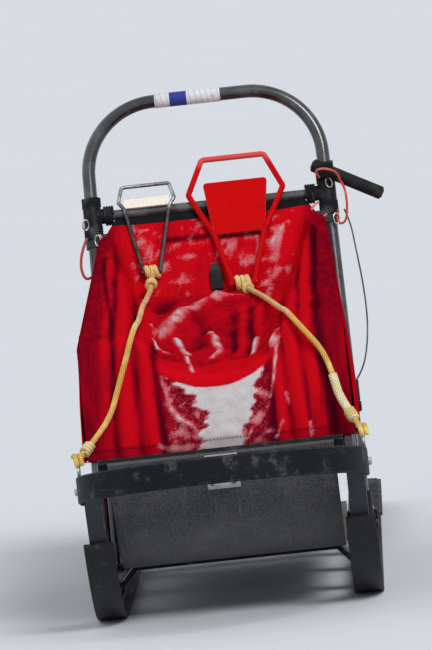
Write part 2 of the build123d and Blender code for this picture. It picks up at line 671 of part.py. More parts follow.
def make_hooks():
    """Snow hooks: a bent rod, a plate welded across it and two claws behind the crossbar."""
    for name, row in HOOKS.items():
        x, rod, low_half, high_half, low_y, high_y = row[:6]
        half_low, half_high, plate_low, plate_high = row[6:10]
        arm_high, arm_low, arm_y, claw_x = row[10:]
        plane = hook_plane(x, HOOK_LIFT + rod)
        points = [
            (-arm_low, arm_y),
            (-arm_high, plate_low),
            (-low_half, low_y),
            (-high_half, high_y),
            (high_half, high_y),
            (low_half, low_y),
            (arm_high, plate_low),
            (arm_low, arm_y),
        ]
        frame = tube(plane * FilletPolyline(*points, radius=HOOK_BEND * rod), rod)
        end = tube(plane * Line((-arm_low - rod, arm_y), (arm_low + rod, arm_y)), rod)
        corners = [
            (-half_low, plate_low),
            (half_low, plate_low),
            (half_high, plate_high),
            (-half_high, plate_high),
        ]
        outline = make_face(Polyline(*corners, close=True))
        plate = extrude(outline, HOOK_PLATE_THICKNESS / 2, both=True)
        plate = plane * fillet(plate.edges().filter_by(Axis.Z), HOOK_PLATE_CORNER)
        near = CROSSBAR_RADIUS + CLAW_GAP
        waist = -CLAW_LENGTH * CLAW_WAIST_SHARE
        claw = make_face(
            Polyline(
                (near, 0),
                (near + CLAW_ROOT, 0),
                (near + CLAW_WIDTH, -CLAW_SHOULDER),
                (near + CLAW_WIDTH, waist),
                (near - CLAW_WAIST, -CLAW_LENGTH),
                (near + CLAW_WAIST, waist),
                close=True,
            )
        )
        claws = []
        for side in (-1, 1):
            turned = Plane(origin=(side * claw_x, 0, 0), x_dir=(0, 1, 0), z_dir=(1, 0, 0))
            claws.append(plane * (turned * extrude(claw, CLAW_THICKNESS / 2, both=True)))
        parts[name] = frame + end + plate + claws[0] + claws[1]


# Corners of each line's route, from the hook's end to its eye on the brushbow
LINE_ROUTES = {
    "hook_line_left": [
        (-132, 260.8, 619.1),
        (-137, 222, 592),
        (-141, 110, 584),
        (-140, -60, 584),
        (-140, -230, 587),
        (-141, -400, 582),
        (-144, -580, 578),
        (-147, -750, 584),
        (-156, -807, 568),
        (-170, -806, 520),
        (-188, -806, 470),
        (-206, -818, 420),
        (-240, -866, 380),
        (-277, -906.5, 345.5),
    ],
    "hook_line_right": [
        (57, 220.6, 575.8),
        (66, 170, 573),
        (80, 70, 571),
        (96, -60, 571),
        (113, -220, 570),
        (128, -380, 570),
        (140, -540, 572),
        (150, -690, 579),
        (160, -790, 575),
        (186, -800, 541),
        (211, -800, 508),
        (225, -806, 474),
        (233, -813, 440),
        (240, -828, 404),
        (277, -906.5, 345.5),
    ],
}


def make_lines():
    """Rope from each snow hook, and the steel eye where it is tied."""
    for name, points in LINE_ROUTES.items():
        radii = []
        for before, corner, after in zip(points, points[1:], points[2:]):
            one = Vector(*corner) - Vector(*before)
            two = Vector(*after) - Vector(*corner)
            turn = radians(one.get_angle(two))
            radii.append(LINE_BEND * min(one.length, two.length) / tan(turn / 2))
        parts[name] = tube(FilletPolyline(*points, radius=radii), LINE_RADIUS)
    half = RUNNER_X + RUNNER_WIDTH / 2 + BOW_THICKNESS / 2
    seat = bow_plane() * Pos(-half, BOW_REAR_Y - LINE_EYE_Y, BOW_HEIGHT / 2)
    disc = extrude(Circle(LINE_EYE_RADIUS), LINE_EYE_THICKNESS / 2, both=True)
    disc = chamfer(disc.edges().filter_by(GeomType.CIRCLE), LINE_EYE_EDGE)
    ring = disc - Cylinder(LINE_EYE_HOLE, 2 * LINE_EYE_THICKNESS)
    ring = Pos(0, 0, LINE_EYE_FOOT + LINE_EYE_HOLE) * Rot(0, 90, 0) * ring
    foot = Pos(0, 0, LINE_EYE_FOOT / 2) * Cylinder(LINE_EYE_PIN, LINE_EYE_FOOT)
    eye = (ring + foot) - Pos(0, 0, -LARGE / 2) * Box(LARGE, LARGE, LARGE)
    both_sides("line_eye", seat * eye)


def make_grip():
    """The side grip and the cross clamp that holds it on the right leg."""
    angle = radians(GRIP_ANGLE)
    direction = Vector(cos(angle), 0, -sin(angle))
    cross_z = CROSSBAR_Z + GRIP_RISE
    leg = Vector(leg_x(cross_z), leg_y(cross_z), cross_z)
    crossing = leg - Vector(0, HOOP_RADIUS + GRIP_GAP + GRIP_RADIUS, 0)
    start = crossing - direction * (GRIP_INBOARD / cos(angle))
    bar = bar_between(start, start + direction * GRIP_LENGTH, GRIP_RADIUS)
    parts["side_grip"] = chamfer(bar.edges().filter_by(GeomType.CIRCLE), *GRIP_END)
    width, height = GRIP_CLAMP_SIZE
    front = crossing.Y - GRIP_RADIUS - CLAMP_WALL
    back = leg.Y + HOOP_RADIUS + CLAMP_WALL
    block = Pos(leg.X, (front + back) / 2, cross_z) * Box(width, back - front, height)
    block = fillet(block.edges().filter_by(Axis.X), CLAMP_WALL)
    legs = tube(hoop_path(), HOOP_RADIUS + CLEAR)
    bore = bar_between(start - direction * GRIP_LENGTH, start + direction * GRIP_LENGTH, GRIP_RADIUS + CLEAR)
    parts["grip_clamp"] = block - legs - bore


def brake_plane():
    """Plane of the brake frame: local y runs from the pin to the bar."""
    direction = Vector(0, BRAKE_BAR_Y - BRAKE_PIN_Y, BRAKE_BAR_Z - BRAKE_PIN_Z).normalized()
    across = Vector(1, 0, 0)
    return Plane(origin=(0, BRAKE_PIN_Y, BRAKE_PIN_Z), x_dir=across, z_dir=across.cross(direction))


def make_brake():
    """The rear crosspiece, the brake's ears and pin, and the claw brake on them."""
    crosspiece = Pos(0, CROSSPIECE_Y, RUNNER_TOP + CROSSPIECE_HEIGHT / 2) * Box(
        RUNNER_SPACING + BRIDGE_FOOT, CROSSPIECE_DEPTH, CROSSPIECE_HEIGHT
    )
    parts["rear_crosspiece"] = fillet(crosspiece.edges().filter_by(Axis.X), CROSSPIECE_ROUND)

    rear_face = CROSSPIECE_Y + CROSSPIECE_DEPTH / 2
    ear_x = BRAKE_HALF + BRAKE_SLEEVE_LENGTH / 2 + BRAKE_EAR_GAP + BRAKE_EAR_THICKNESS / 2
    ear_z = RUNNER_TOP + CROSSPIECE_HEIGHT / 2
    ear_face = make_face(
        Polyline(
            (rear_face, ear_z - BRAKE_EAR_ROOT),
            (rear_face, ear_z + BRAKE_EAR_ROOT),
            (BRAKE_PIN_Y, BRAKE_PIN_Z + BRAKE_EAR_RADIUS),
            (BRAKE_PIN_Y, BRAKE_PIN_Z - BRAKE_EAR_RADIUS),
            close=True,
        )
    ) + Pos(BRAKE_PIN_Y, BRAKE_PIN_Z) * Circle(BRAKE_EAR_RADIUS)
    ear_face -= Pos(BRAKE_PIN_Y, BRAKE_PIN_Z) * Circle(BRAKE_PIN_RADIUS + RUNNING)
    ear = extrude(Plane.YZ * ear_face, BRAKE_EAR_THICKNESS / 2, both=True)
    both_sides("brake_ear", Pos(ear_x, 0, 0) * ear)
    pin_length = 2 * (ear_x + BRAKE_EAR_THICKNESS)
    parts["brake_pin"] = x_cylinder(BRAKE_PIN_RADIUS, pin_length, BRAKE_PIN_Y, BRAKE_PIN_Z)

    reach = hypot(BRAKE_BAR_Y - BRAKE_PIN_Y, BRAKE_BAR_Z - BRAKE_PIN_Z)
    plane = brake_plane()
    start = BRAKE_PIN_RADIUS + 2
    points = [(-BRAKE_HALF, start), (-BRAKE_HALF, reach), (BRAKE_HALF, reach), (BRAKE_HALF, start)]
    frame = tube(plane * FilletPolyline(*points, radius=BRAKE_BEND_RADIUS), BRAKE_TUBE_RADIUS)
    for side in (-1, 1):
        place = (BRAKE_PIN_Y, BRAKE_PIN_Z, side * BRAKE_HALF)
        frame += x_cylinder(BRAKE_SLEEVE_RADIUS, BRAKE_SLEEVE_LENGTH, *place)
    frame -= x_cylinder(BRAKE_PIN_RADIUS + RUNNING, 3 * BRAKE_HALF, BRAKE_PIN_Y, BRAKE_PIN_Z)
    parts["brake_frame"] = frame

    corners = [
        (BRAKE_BAR_Y + behind, BRAKE_BAR_Z - BRAKE_CLAW_DROP * share)
        for behind, share in BRAKE_CLAW_OUTLINE
    ]
    tooth = make_face(Polyline(*corners, close=True))
    claws = None
    around_bar = x_cylinder(BRAKE_TUBE_RADIUS + RUNNING, 3 * BRAKE_HALF, BRAKE_BAR_Y, BRAKE_BAR_Z)
    for side in (-1, 1):
        x = side * BRAKE_CLAW_X
        claw = Pos(x, 0, 0) * extrude(Plane.YZ * tooth, BRAKE_CLAW_THICKNESS / 2, both=True)
        claw += x_cylinder(BRAKE_COLLAR_RADIUS, BRAKE_COLLAR_LENGTH, BRAKE_BAR_Y, BRAKE_BAR_Z, x)
        claws = claw if claws is None else claws + claw
    parts["brake_claws"] = claws - around_bar
    width, depth = BRAKE_STEP_SIZE
    height = 2 * BRAKE_COLLAR_RADIUS
    bar = Pos(0, BRAKE_BAR_Y, BRAKE_BAR_Z)
    step = bar * Box(width, depth, height)
    step -= bar * Pos(0, 0, -BRAKE_STEP_WALL) * Box(width, depth - 2 * BRAKE_STEP_WALL, height)
    saddle = x_cylinder(BRAKE_TUBE_RADIUS + BRAKE_STEP_WALL, width, BRAKE_BAR_Y, BRAKE_BAR_Z)
    parts["brake_step"] = step + saddle - around_bar


def make_mat():
    """The mat's straps and rod, and the lugged mat that lies on the ground."""
    hinge_z = MAT_LUG_HEIGHT + MAT_THICKNESS / 2
    rear_face = CROSSPIECE_Y + CROSSPIECE_DEPTH / 2
    parts["mat_rod"] = x_cylinder(MAT_ROD_RADIUS, MAT_WIDTH + 2 * ROD_OVERHANG, MAT_HINGE_Y, hinge_z)
    strap_z = RUNNER_TOP + STRAP_THICKNESS
    run = Vector(0, MAT_HINGE_Y - rear_face, hinge_z - strap_z)
    middle = Vector(0, rear_face, strap_z) + run / 2
    straps = []
    around_rod = x_cylinder(MAT_ROD_RADIUS + RUNNING, MAT_WIDTH, MAT_HINGE_Y, hinge_z)
    tilt = degrees(atan2(run.Z, run.Y))
    tab_z = strap_z - STRAP_THICKNESS + STRAP_TAB / 2
    tab = Pos(0, rear_face + STRAP_THICKNESS / 2, tab_z) * Box(STRAP_WIDTH, STRAP_THICKNESS, STRAP_TAB)
    for side in (-1, 1):
        strap = Pos(side * STRAP_X, middle.Y, middle.Z) * Rot(tilt, 0, 0) * Box(
            STRAP_WIDTH, run.length, STRAP_THICKNESS
        )
        strap += x_cylinder(MAT_KNUCKLE_RADIUS, STRAP_WIDTH, MAT_HINGE_Y, hinge_z, side * STRAP_X)
        strap += Pos(side * STRAP_X, 0, 0) * tab
        front = Pos(0, rear_face - LARGE / 2, 0) * Box(LARGE, LARGE, LARGE)
        straps.append(strap - around_rod - front)
    parts["mat_straps"] = Compound([piece for strap in straps for piece in strap.solids()])

    sheet_y = MAT_HINGE_Y + MAT_KNUCKLE_RADIUS
    sheet = Box(MAT_WIDTH, MAT_LENGTH + SHEET_LAP, MAT_THICKNESS)
    sheet = Pos(0, sheet_y + (MAT_LENGTH - SHEET_LAP) / 2, hinge_z) * sheet
    inner = STRAP_X - STRAP_WIDTH / 2 - KNUCKLE_GAP
    outer = STRAP_X + STRAP_WIDTH / 2 + KNUCKLE_GAP
    edge = MAT_WIDTH / 2
    knuckles = [(0, 2 * inner), ((edge + outer) / 2, edge - outer), (-(edge + outer) / 2, edge - outer)]
    mat = sheet
    for x, length in knuckles:
        mat += x_cylinder(MAT_KNUCKLE_RADIUS, length, MAT_HINGE_Y, hinge_z, x)
    for side in (-1, 1):
        notch = Pos(side * STRAP_X, MAT_HINGE_Y, hinge_z)
        mat -= notch * Box(outer - inner, 2 * (MAT_KNUCKLE_RADIUS + KNUCKLE_GAP), 4 * MAT_KNUCKLE_RADIUS)
    mat -= x_cylinder(MAT_ROD_RADIUS + RUNNING, 2 * MAT_WIDTH, MAT_HINGE_Y, hinge_z)
    rows = int((MAT_LENGTH - MAT_LUG_LENGTH) // MAT_LUG_PITCH)
    lug = Box(MAT_LUG_WIDTH, MAT_LUG_LENGTH, MAT_LUG_HEIGHT)
    centre = Pos(0, sheet_y + MAT_LENGTH / 2, MAT_LUG_HEIGHT / 2)
    pitch_x = MAT_WIDTH / MAT_LUG_COLUMNS
    for place in GridLocations(pitch_x, MAT_LUG_PITCH, MAT_LUG_COLUMNS, rows):
        mat += centre * place * lug
    parts["drag_mat"] = mat


def main():
    make_runners()
    make_footpads()
    make_bridges()
    make_bed()
    make_brushbow()
    make_handlebar()
    make_rails()
    make_tub()
    make_cover()
    make_hooks()
    make_lines()
    make_grip()
    make_brake()
    make_mat()
    os.makedirs("parts", exist_ok=True)
    for name, solid in parts.items():
        export_step(solid, os.path.join("parts", name + ".step"))


main()
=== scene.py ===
"""Looks of a raised toboggan dog sled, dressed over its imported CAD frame.

Metres, in the CAD frame: the front looks along -Y, +X is on the right seen from the front, +Z up.
"""

from math import cos, pi, radians, sin

import bmesh
import bpy
import numpy as np
from mathutils import Matrix, Vector, noise


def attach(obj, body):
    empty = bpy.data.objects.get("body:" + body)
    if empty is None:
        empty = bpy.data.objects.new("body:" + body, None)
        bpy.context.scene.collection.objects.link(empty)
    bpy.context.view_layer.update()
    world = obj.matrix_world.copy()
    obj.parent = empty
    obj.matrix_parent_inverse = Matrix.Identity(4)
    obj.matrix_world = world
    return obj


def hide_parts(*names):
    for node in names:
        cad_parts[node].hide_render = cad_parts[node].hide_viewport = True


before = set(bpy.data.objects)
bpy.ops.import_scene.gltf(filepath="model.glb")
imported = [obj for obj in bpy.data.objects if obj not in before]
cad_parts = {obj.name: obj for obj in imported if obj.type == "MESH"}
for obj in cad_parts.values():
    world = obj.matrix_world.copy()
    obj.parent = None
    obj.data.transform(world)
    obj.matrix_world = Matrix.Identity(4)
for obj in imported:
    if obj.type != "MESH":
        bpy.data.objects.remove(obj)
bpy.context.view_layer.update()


# The studio: a wide pale floor under an even, overcast sky. The camera stands 15 m ahead of the
# sled at eye level with a long lens, and is rolled a little, so that the handlebar's level bars
# rise to the right.
FLOOR_SIZE = 600
FLOOR_COLOUR = (0.66, 0.68, 0.71)
FLOOR_CLOUDS = 1.04          # how much paler the floor is in places
SKY_COLOUR = (0.90, 0.93, 1.0, 1)
SKY_LIGHT = 0.50
BACKDROP_COLOUR = (0.72, 0.74, 0.78, 1)
CAMERA_PLACE = Vector((0.38, -15.2, 1.56))
CAMERA_AIM = Vector((0.0, -0.2, 0.53))
CAMERA_ROLL = radians(-6.3)
CAMERA_LENS = 411
CAMERA_REACH = 400
# name, strength, size of the glow in degrees, and the direction it comes from
LAMPS = [
    ("key", 2.1, 24, (0.55, -1.0, 0.95)),
    ("fill", 0.40, 80, (-0.9, -0.6, 0.6)),
    ("side", 0.25, 60, (-1.0, 0.6, 0.8)),
]


class Signal:
    """What a node gives out; sums on it add Math nodes."""

    def __init__(self, nodes, socket):
        self.nodes = nodes
        self.socket = socket

    def maths(self, operation, *others):
        return self.nodes.node("ShaderNodeMath", {"operation": operation}, self, *others)

    def __add__(self, other):
        return self.maths("ADD", other)

    def __sub__(self, other):
        return self.maths("SUBTRACT", other)

    def __rsub__(self, other):
        return self.nodes.node("ShaderNodeMath", {"operation": "SUBTRACT"}, other, self)

    def __mul__(self, other):
        return self.maths("MULTIPLY", other)

    def __truediv__(self, other):
        return self.maths("DIVIDE", other)

    def __abs__(self):
        return self.maths("ABSOLUTE")

    def __lt__(self, other):
        return self.maths("LESS_THAN", other)

    def __gt__(self, other):
        return self.maths("GREATER_THAN", other)

    __radd__ = __add__
    __rmul__ = __mul__

    def waves(self, pitch):
        """Sine of a value, with its waves that far apart."""
        return (self * (2 * pi / pitch)).maths("SINE")

    def part(self):
        """What is left of a value above the next whole number below it."""
        return self.maths("FRACT")

    def most(self, other):
        return self.maths("MAXIMUM", other)

    def least(self, other):
        return self.maths("MINIMUM", other)

    def rise(self, low, high):
        """0 below low, 1 above high, smooth between; falls if high is the lower one."""
        ends = (low, high, 0.0, 1.0) if low < high else (high, low, 1.0, 0.0)
        return self.nodes.node("ShaderNodeMapRange", {"interpolation_type": "SMOOTHSTEP"}, self, *ends)


class Nodes:
    """The nodes of the sky or of a finish."""

    def __init__(self, owner):
        owner.use_nodes = True
        self.tree = owner.node_tree
        self.tree.nodes.clear()

    def put(self, socket, value):
        """Give a socket a number, a colour, a vector or another node's output."""
        if isinstance(value, Signal):
            self.tree.links.new(value.socket, socket)
        elif socket.type == "RGBA" and len(value) == 3:
            socket.default_value = (*value, 1)
        else:
            socket.default_value = value

    def node(self, kind, settings=None, *values, output=0, **named):
        """Add a node, set it up, and fill the sockets that it then shows in order or by name."""
        made = self.tree.nodes.new(kind)
        for setting, value in (settings or {}).items():
            setattr(made, setting, value)
        for socket, value in zip([socket for socket in made.inputs if socket.enabled], values):
            self.put(socket, value)
        for name, value in named.items():
            self.put(made.inputs[name], value)
        return Signal(self, made.outputs[output]) if made.outputs else None


class Finish(Nodes):
    """A material with one Principled shader."""

    def __init__(self, name, roughness=0.5, metallic=0.0, shine=0.5, **constants):
        self.material = bpy.data.materials.new(name)
        super().__init__(self.material)
        surface = self.node("ShaderNodeBsdfPrincipled")
        self.node("ShaderNodeOutputMaterial", None, surface)
        self.shader = surface.socket.node
        self.feed("Roughness", roughness)
        self.feed("Metallic", metallic)
        self.feed("Specular IOR Level", shine)
        for socket, value in constants.items():
            self.feed(socket.replace("_", " ").title(), value)

    def feed(self, name, value):
        """Set or link a socket of the shader."""
        self.put(self.shader.inputs[name], value)

    def point(self):
        """The point on the object."""
        return self.node("ShaderNodeTexCoord", output=3)

    def parted(self, point):
        """A point's x, y and z."""
        outputs = self.node("ShaderNodeSeparateXYZ", None, point).socket.node.outputs
        return [Signal(self, output) for output in outputs]

    def noise(self, point, scale, detail, roughness=0.55):
        named = {"Vector": point, "Scale": scale, "Detail": detail, "Roughness": roughness}
        return self.node("ShaderNodeTexNoise", **named)

    def stretched(self, point, x, y, z):
        """The point with each direction scaled."""
        return self.node("ShaderNodeVectorMath", {"operation": "MULTIPLY"}, point, (x, y, z))

    def mix(self, share, low, high):
        """Colour between two colours."""
        return self.node("ShaderNodeMix", {"data_type": "RGBA"}, share, low, high, output=2)

    def bump(self, height, distance, **under):
        """Relief of a height between 0 and 1, that deep in metres."""
        self.feed("Normal", self.node("ShaderNodeBump", Height=height, Distance=distance, **under))

    def rounded(self, radius, height, distance):
        """Edges that look rounded off, with relief on top."""
        self.bump(height, distance, Normal=self.node("ShaderNodeBevel", {"samples": 4}, radius))

    def dress(self, *pieces):
        """Give the finish to CAD nodes, by name, or to new pieces."""
        for piece in pieces:
            if isinstance(piece, str):
                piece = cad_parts[piece]
            piece.data.materials.clear()
            piece.data.materials.append(self.material)


def linked(name, data):
    """A new object in the scene for a mesh, a lamp or a camera."""
    made = bpy.data.objects.new(name, data)
    bpy.context.scene.collection.objects.link(made)
    return made


def shaded(colour, share):
    """A colour times a share."""
    return [share * part for part in colour]


bpy.ops.object.select_all(action="DESELECT")
bpy.ops.mesh.primitive_plane_add(size=FLOOR_SIZE, location=(0, 0, 0))
floor = bpy.context.object
floor.name = "floor"
floor_finish = Finish("floor_pale", roughness=0.9)
clouds = floor_finish.noise(floor_finish.point(), 0.9, 2)
paler = shaded(FLOOR_COLOUR, FLOOR_CLOUDS)
floor_finish.feed("Base Color", floor_finish.mix(clouds, FLOOR_COLOUR, paler))
floor_finish.dress(floor)

world = bpy.data.worlds.new("overcast")
bpy.context.scene.world = world
sky = Nodes(world)
lighting = sky.node("ShaderNodeBackground", None, SKY_COLOUR, SKY_LIGHT)
backdrop = sky.node("ShaderNodeBackground", None, BACKDROP_COLOUR)
kinds = ("Is Camera Ray", "Is Glossy Ray", "Is Transmission Ray")
seen, mirrored, through = [sky.node("ShaderNodeLightPath", output=kind) for kind in kinds]
shown = sky.node("ShaderNodeMixShader", None, seen.most(mirrored).most(through), lighting, backdrop)
sky.node("ShaderNodeOutputWorld", None, shown)

for name, strength, glow, direction in LAMPS:
    lamp = bpy.data.lights.new(name, "SUN")
    lamp.energy = strength
    lamp.angle = radians(glow)
    linked(name, lamp).rotation_euler = Vector(direction).to_track_quat("Z", "Y").to_euler()

lens = bpy.data.cameras.new("camera")
lens.lens = CAMERA_LENS
lens.clip_end = CAMERA_REACH
camera = linked("camera", lens)
turn = (CAMERA_AIM - CAMERA_PLACE).to_track_quat("-Z", "Y").to_matrix().to_4x4()
camera.matrix_world = Matrix.Translation(CAMERA_PLACE) @ turn @ Matrix.Rotation(CAMERA_ROLL, 4, "Z")
bpy.context.scene.camera = camera
bpy.context.scene.view_settings.view_transform = "Standard"


# The hook lines: 11 mm braided rope, yellow and a little faded, from each snow hook over the bag
# to a steel eye on the brushbow. Each is tied on with wrapped turns, and the right one ends in a
# pale whipped splice.
LINE_DIAMETER = 0.011
LINE_SIDES = 16
BRAID_PITCH = 0.024
BRAID_STRANDS = 4            # that cross on the way round
ROPE_YELLOW = (0.78, 0.44, 0.055)
ROPE_PALE = (0.84, 0.66, 0.20)
ROPE_SHADE = (0.34, 0.17, 0.02)
# the routes' points, as in the CAD source
LINES = {
    "left": [
        (-0.132, 0.2608, 0.6191), (-0.137, 0.222, 0.592), (-0.141, 0.110, 0.584),
        (-0.142, -0.060, 0.584), (-0.143, -0.230, 0.587), (-0.143, -0.400, 0.582),
        (-0.143, -0.580, 0.578), (-0.143, -0.750, 0.584), (-0.151, -0.807, 0.568),
        (-0.168, -0.806, 0.520), (-0.188, -0.806, 0.470), (-0.206, -0.818, 0.420),
        (-0.240, -0.866, 0.380), (-0.277, -0.9065, 0.3455),
    ],
    "right": [
        (0.057, 0.2206, 0.5758), (0.066, 0.170, 0.573), (0.080, 0.070, 0.571),
        (0.096, -0.060, 0.571), (0.113, -0.220, 0.570), (0.128, -0.380, 0.570),
        (0.140, -0.540, 0.572), (0.150, -0.690, 0.579), (0.160, -0.790, 0.575),
        (0.186, -0.800, 0.541), (0.211, -0.800, 0.508), (0.225, -0.806, 0.474),
        (0.233, -0.813, 0.440), (0.240, -0.828, 0.404), (0.277, -0.9065, 0.3455),
    ],
}


def smooth_route(points):
    """Points read along the smooth line that a route gives."""
    curve = bpy.data.curves.new("route", "CURVE")
    curve.dimensions = "3D"
    curve.resolution_u = 10
    spline = curve.splines.new("NURBS")
    spline.points.add(len(points) - 1)
    for control, place in zip(spline.points, points):
        control.co = (*place, 1)
    spline.order_u = 3
    spline.use_endpoint_u = True
    holder = bpy.data.objects.new("route", curve)
    line = bpy.data.meshes.new_from_object(holder)
    read = [vertex.co.copy() for vertex in line.vertices]
    bpy.data.objects.remove(holder)
    bpy.data.curves.remove(curve)
    bpy.data.meshes.remove(line)
    return read


def mesh_piece(name, made):
    """A new object in the scene from the mesh that has been made for it."""
    mesh = bpy.data.meshes.new(name)
    made.to_mesh(mesh)
    made.free()
    return linked(name, mesh)


def rope_mesh(name, line, radius, sides=LINE_SIDES):
    """A closed round rope along a line of points, with a map of turns round and metres along."""
    tangents = [(b - a).normalized() for a, b in zip(line, line[1:])]
    tangents.append(tangents[-1])
    side = tangents[0].orthogonal().normalized()
    angles = [2 * pi * step / sides for step in range(sides)]
    made = bmesh.new()
    layer = made.loops.layers.uv.new("UVMap")
    rings, lengths = [], [0.0]
    for place, tangent in zip(line, tangents):
        side = (side - tangent * side.dot(tangent)).normalized()
        up = tangent.cross(side)
        rings.append([made.verts.new(place + radius * (cos(a) * side + sin(a) * up)) for a in angles])
    for a, b in zip(line, line[1:]):
        lengths.append(lengths[-1] + (b - a).length)
    for row, (ring, above) in enumerate(zip(rings, rings[1:])):
        for step in range(sides):
            after = (step + 1) % sides
            face = made.faces.new((ring[step], ring[after], above[after], above[step]))
            face.smooth = True
            corners = ((step, row), (step + 1, row), (step + 1, row + 1), (step, row + 1))
            for loop, (turned, level) in zip(face.loops, corners):
                loop[layer].uv = (turned / sides, lengths[level])
    made.faces.new(rings[0][::-1])
    made.faces.new(rings[-1])
    return mesh_piece(name, made)


def fit(piece, finish, slot, *stands_for):
    """Dress a new piece, attach it to its body and hide the CAD nodes that it stands for; the slot is not
    used.
    """
    finish.dress(piece)
    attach(piece, "root")
    if stands_for:
        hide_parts(*stands_for)


def braided(name, groove_shade, mid, pale, pitch=BRAID_PITCH, relief=0.0009, fuzz_sheen=0.25, shine=0.5):
    """Finish of a braid: crossing strands that follow the rope's own map, with painted shade in the
    grooves between them.
    """
    finish = Finish(name, 0.75, shine=shine, sheen_weight=fuzz_sheen, sheen_roughness=0.5)
    around, along = finish.parted(finish.node("ShaderNodeTexCoord", output=2))[:2]
    around, along = around * BRAID_STRANDS, along / pitch
    strands = abs((around + along).waves(1) * (around - along).waves(1))
    point = finish.point()
    wear = finish.noise(point, 30, 4)
    fuzz = finish.noise(point, 900, 2)
    colour = finish.mix(strands.rise(0.0, 0.5), groove_shade, mid)
    finish.feed("Base Color", finish.mix(wear.rise(0.45, 0.75), colour, pale))
    finish.bump(strands + fuzz * 0.25, relief)
    return finish


yellow_rope = braided("rope_yellow", ROPE_SHADE, ROPE_YELLOW, ROPE_PALE)
knot_rope = braided("rope_knot_pale", (0.50, 0.33, 0.08), (0.82, 0.66, 0.22), (0.88, 0.78, 0.45))
line_routes, hook_ropes = {}, {}
for side, points in LINES.items():
    line_routes[side] = smooth_route(points)
    hook_ropes[side] = rope_mesh("hook_rope_" + side, line_routes[side], LINE_DIAMETER / 2)
    fit(hook_ropes[side], yellow_rope, "rope_yellow", "hook_line_" + side)


# The runners: drawn aluminium beams, black anodised, with a slot along each side, on sliding bases
# of polyethylene. The beams' edges are rubbed bright and the bases are scored along their length.
BEAM_BLACK = (0.016, 0.017, 0.020)
BARE_METAL = (0.30, 0.30, 0.31)
BASE_BLACK = (0.012, 0.012, 0.013)
SCORED_GREY = (0.16, 0.16, 0.17)


def edge_share(finish, radius):
    """1 where the surface turns within a radius, 0 on flat ground."""
    bent = finish.node("ShaderNodeBevel", {"samples": 6}, radius)
    plain = finish.node("ShaderNodeNewGeometry", output=1)
    level = finish.node("ShaderNodeVectorMath", {"operation": "DOT_PRODUCT"}, bent, plain, output=1)
    return level.rise(0.995, 0.90)


beam = Finish("beam_black", metallic=0.7)
point = beam.point()
drawn = beam.noise(beam.stretched(point, 800, 14, 800), 1.0, 3)
dirt = beam.noise(point, 11, 5)
score = beam.noise(beam.stretched(point, 240, 7, 240), 1.0, 4, 0.7)
rubbed = score.rise(0.62, 0.72) * dirt.rise(0.45, 0.6) * 0.5
edges = edge_share(beam, 0.0022) * beam.noise(point, 60, 4).rise(0.42, 0.62)
plain = beam.mix(dirt, BEAM_BLACK, shaded(BEAM_BLACK, 3))
beam.feed("Base Color", beam.mix(rubbed.most(edges * 0.8), plain, BARE_METAL))
beam.feed("Roughness", drawn * 0.25 + 0.28)
beam.rounded(0.0014, drawn + score * 0.5, 0.0002)
beam.dress("runner_left", "runner_right")

base = Finish("base_plastic", shine=0.2)
point = base.point()
score = base.noise(base.stretched(point, 420, 5, 420), 1.0, 5, 0.75)
rime = base.noise(point, 40, 5)
marks = score.rise(0.58, 0.70) * 0.55 + rime.rise(0.60, 0.78) * 0.25
base.feed("Base Color", base.mix(marks, BASE_BLACK, SCORED_GREY))
base.feed("Roughness", score * 0.35 + 0.3)
base.rounded(0.0018, score, 0.0004)
base.dress("runner_base_left", "runner_base_right")


# The footpads: strips of moulded rubber with cross ribs, glued on the runners' tails. They are
# scuffed on the ribs' edges and dusted grey in patches.
PAD_BLACK = (0.014, 0.014, 0.015)
DUST_GREY = (0.14, 0.14, 0.15)


def moulded_rubber(name, colour, dust, scale=1.0):
    finish = Finish(name, roughness=0.8, shine=0.3)
    point = finish.point()
    pores = finish.noise(point, 700 * scale, 3)
    patches = finish.noise(point, 13, 5)
    scuffs = finish.noise(point, 120, 4).rise(0.52, 0.75)
    share = patches.rise(0.40, 0.72) * 0.45 + edge_share(finish, 0.0025) * scuffs * 0.35
    finish.feed("Base Color", finish.mix(share, colour, dust))
    finish.feed("Roughness", pores * 0.2 + 0.68)
    finish.rounded(0.0012, pores + scuffs * 0.5, 0.0006)
    return finish


moulded_rubber("pad_rubber", PAD_BLACK, DUST_GREY).dress("footpad_left", "footpad_right")


# The bridges, the bar behind the nose and the brushbow: thick black polyethylene, sawn and planed,
# with a fine grain. Their edges are chewed pale, and the brushbow is scuffed the most.
FRAME_BLACK = (0.008, 0.0085, 0.0095)
CHEWED_GREY = (0.15, 0.15, 0.155)


def planed_plastic(name, stretch, scuffing):
    finish = Finish(name, shine=0.08)
    point = finish.point()
    grain = finish.noise(point, 520, 3)
    planing = finish.noise(finish.stretched(point, *stretch), 60, 4, 0.7)
    knocks = finish.noise(point, 26, 6, 0.65).rise(0.55, 0.68)
    edges = edge_share(finish, 0.003) * finish.noise(point, 75, 4).rise(0.40, 0.66)
    share = (planing.rise(0.60, 0.80) * scuffing + knocks * scuffing).most(edges * 0.65)
    finish.feed("Base Color", finish.mix(share, FRAME_BLACK, CHEWED_GREY))
    finish.feed("Roughness", grain * 0.16 + planing * 0.2 + 0.34)
    finish.rounded(0.0018, grain * 0.5 + planing, 0.0005)
    return finish


across_grain = planed_plastic("frame_plastic", (0.15, 1, 1), 0.25)
across_grain.dress("bridge_front", "bridge_middle", "bridge_rear", "nose_bar")
planed_plastic("bow_plastic", (0.2, 0.2, 2.5), 0.3).dress("brushbow")


# The bed: one sheet of dark grey polyethylene, curled up at the nose. It is speckled all over and
# scratched fore and aft by what it has been dragged across. The nose is paler low down, partly rime and
# partly painted light, so the curl's top looks shaded by the brushbow.
BED_DARK = (0.030, 0.031, 0.033)
BED_PALE = (0.135, 0.133, 0.128)
NOSE_PALE_FROM = 0.24        # the heights between which the nose turns paler
NOSE_PALE_TO = 0.12

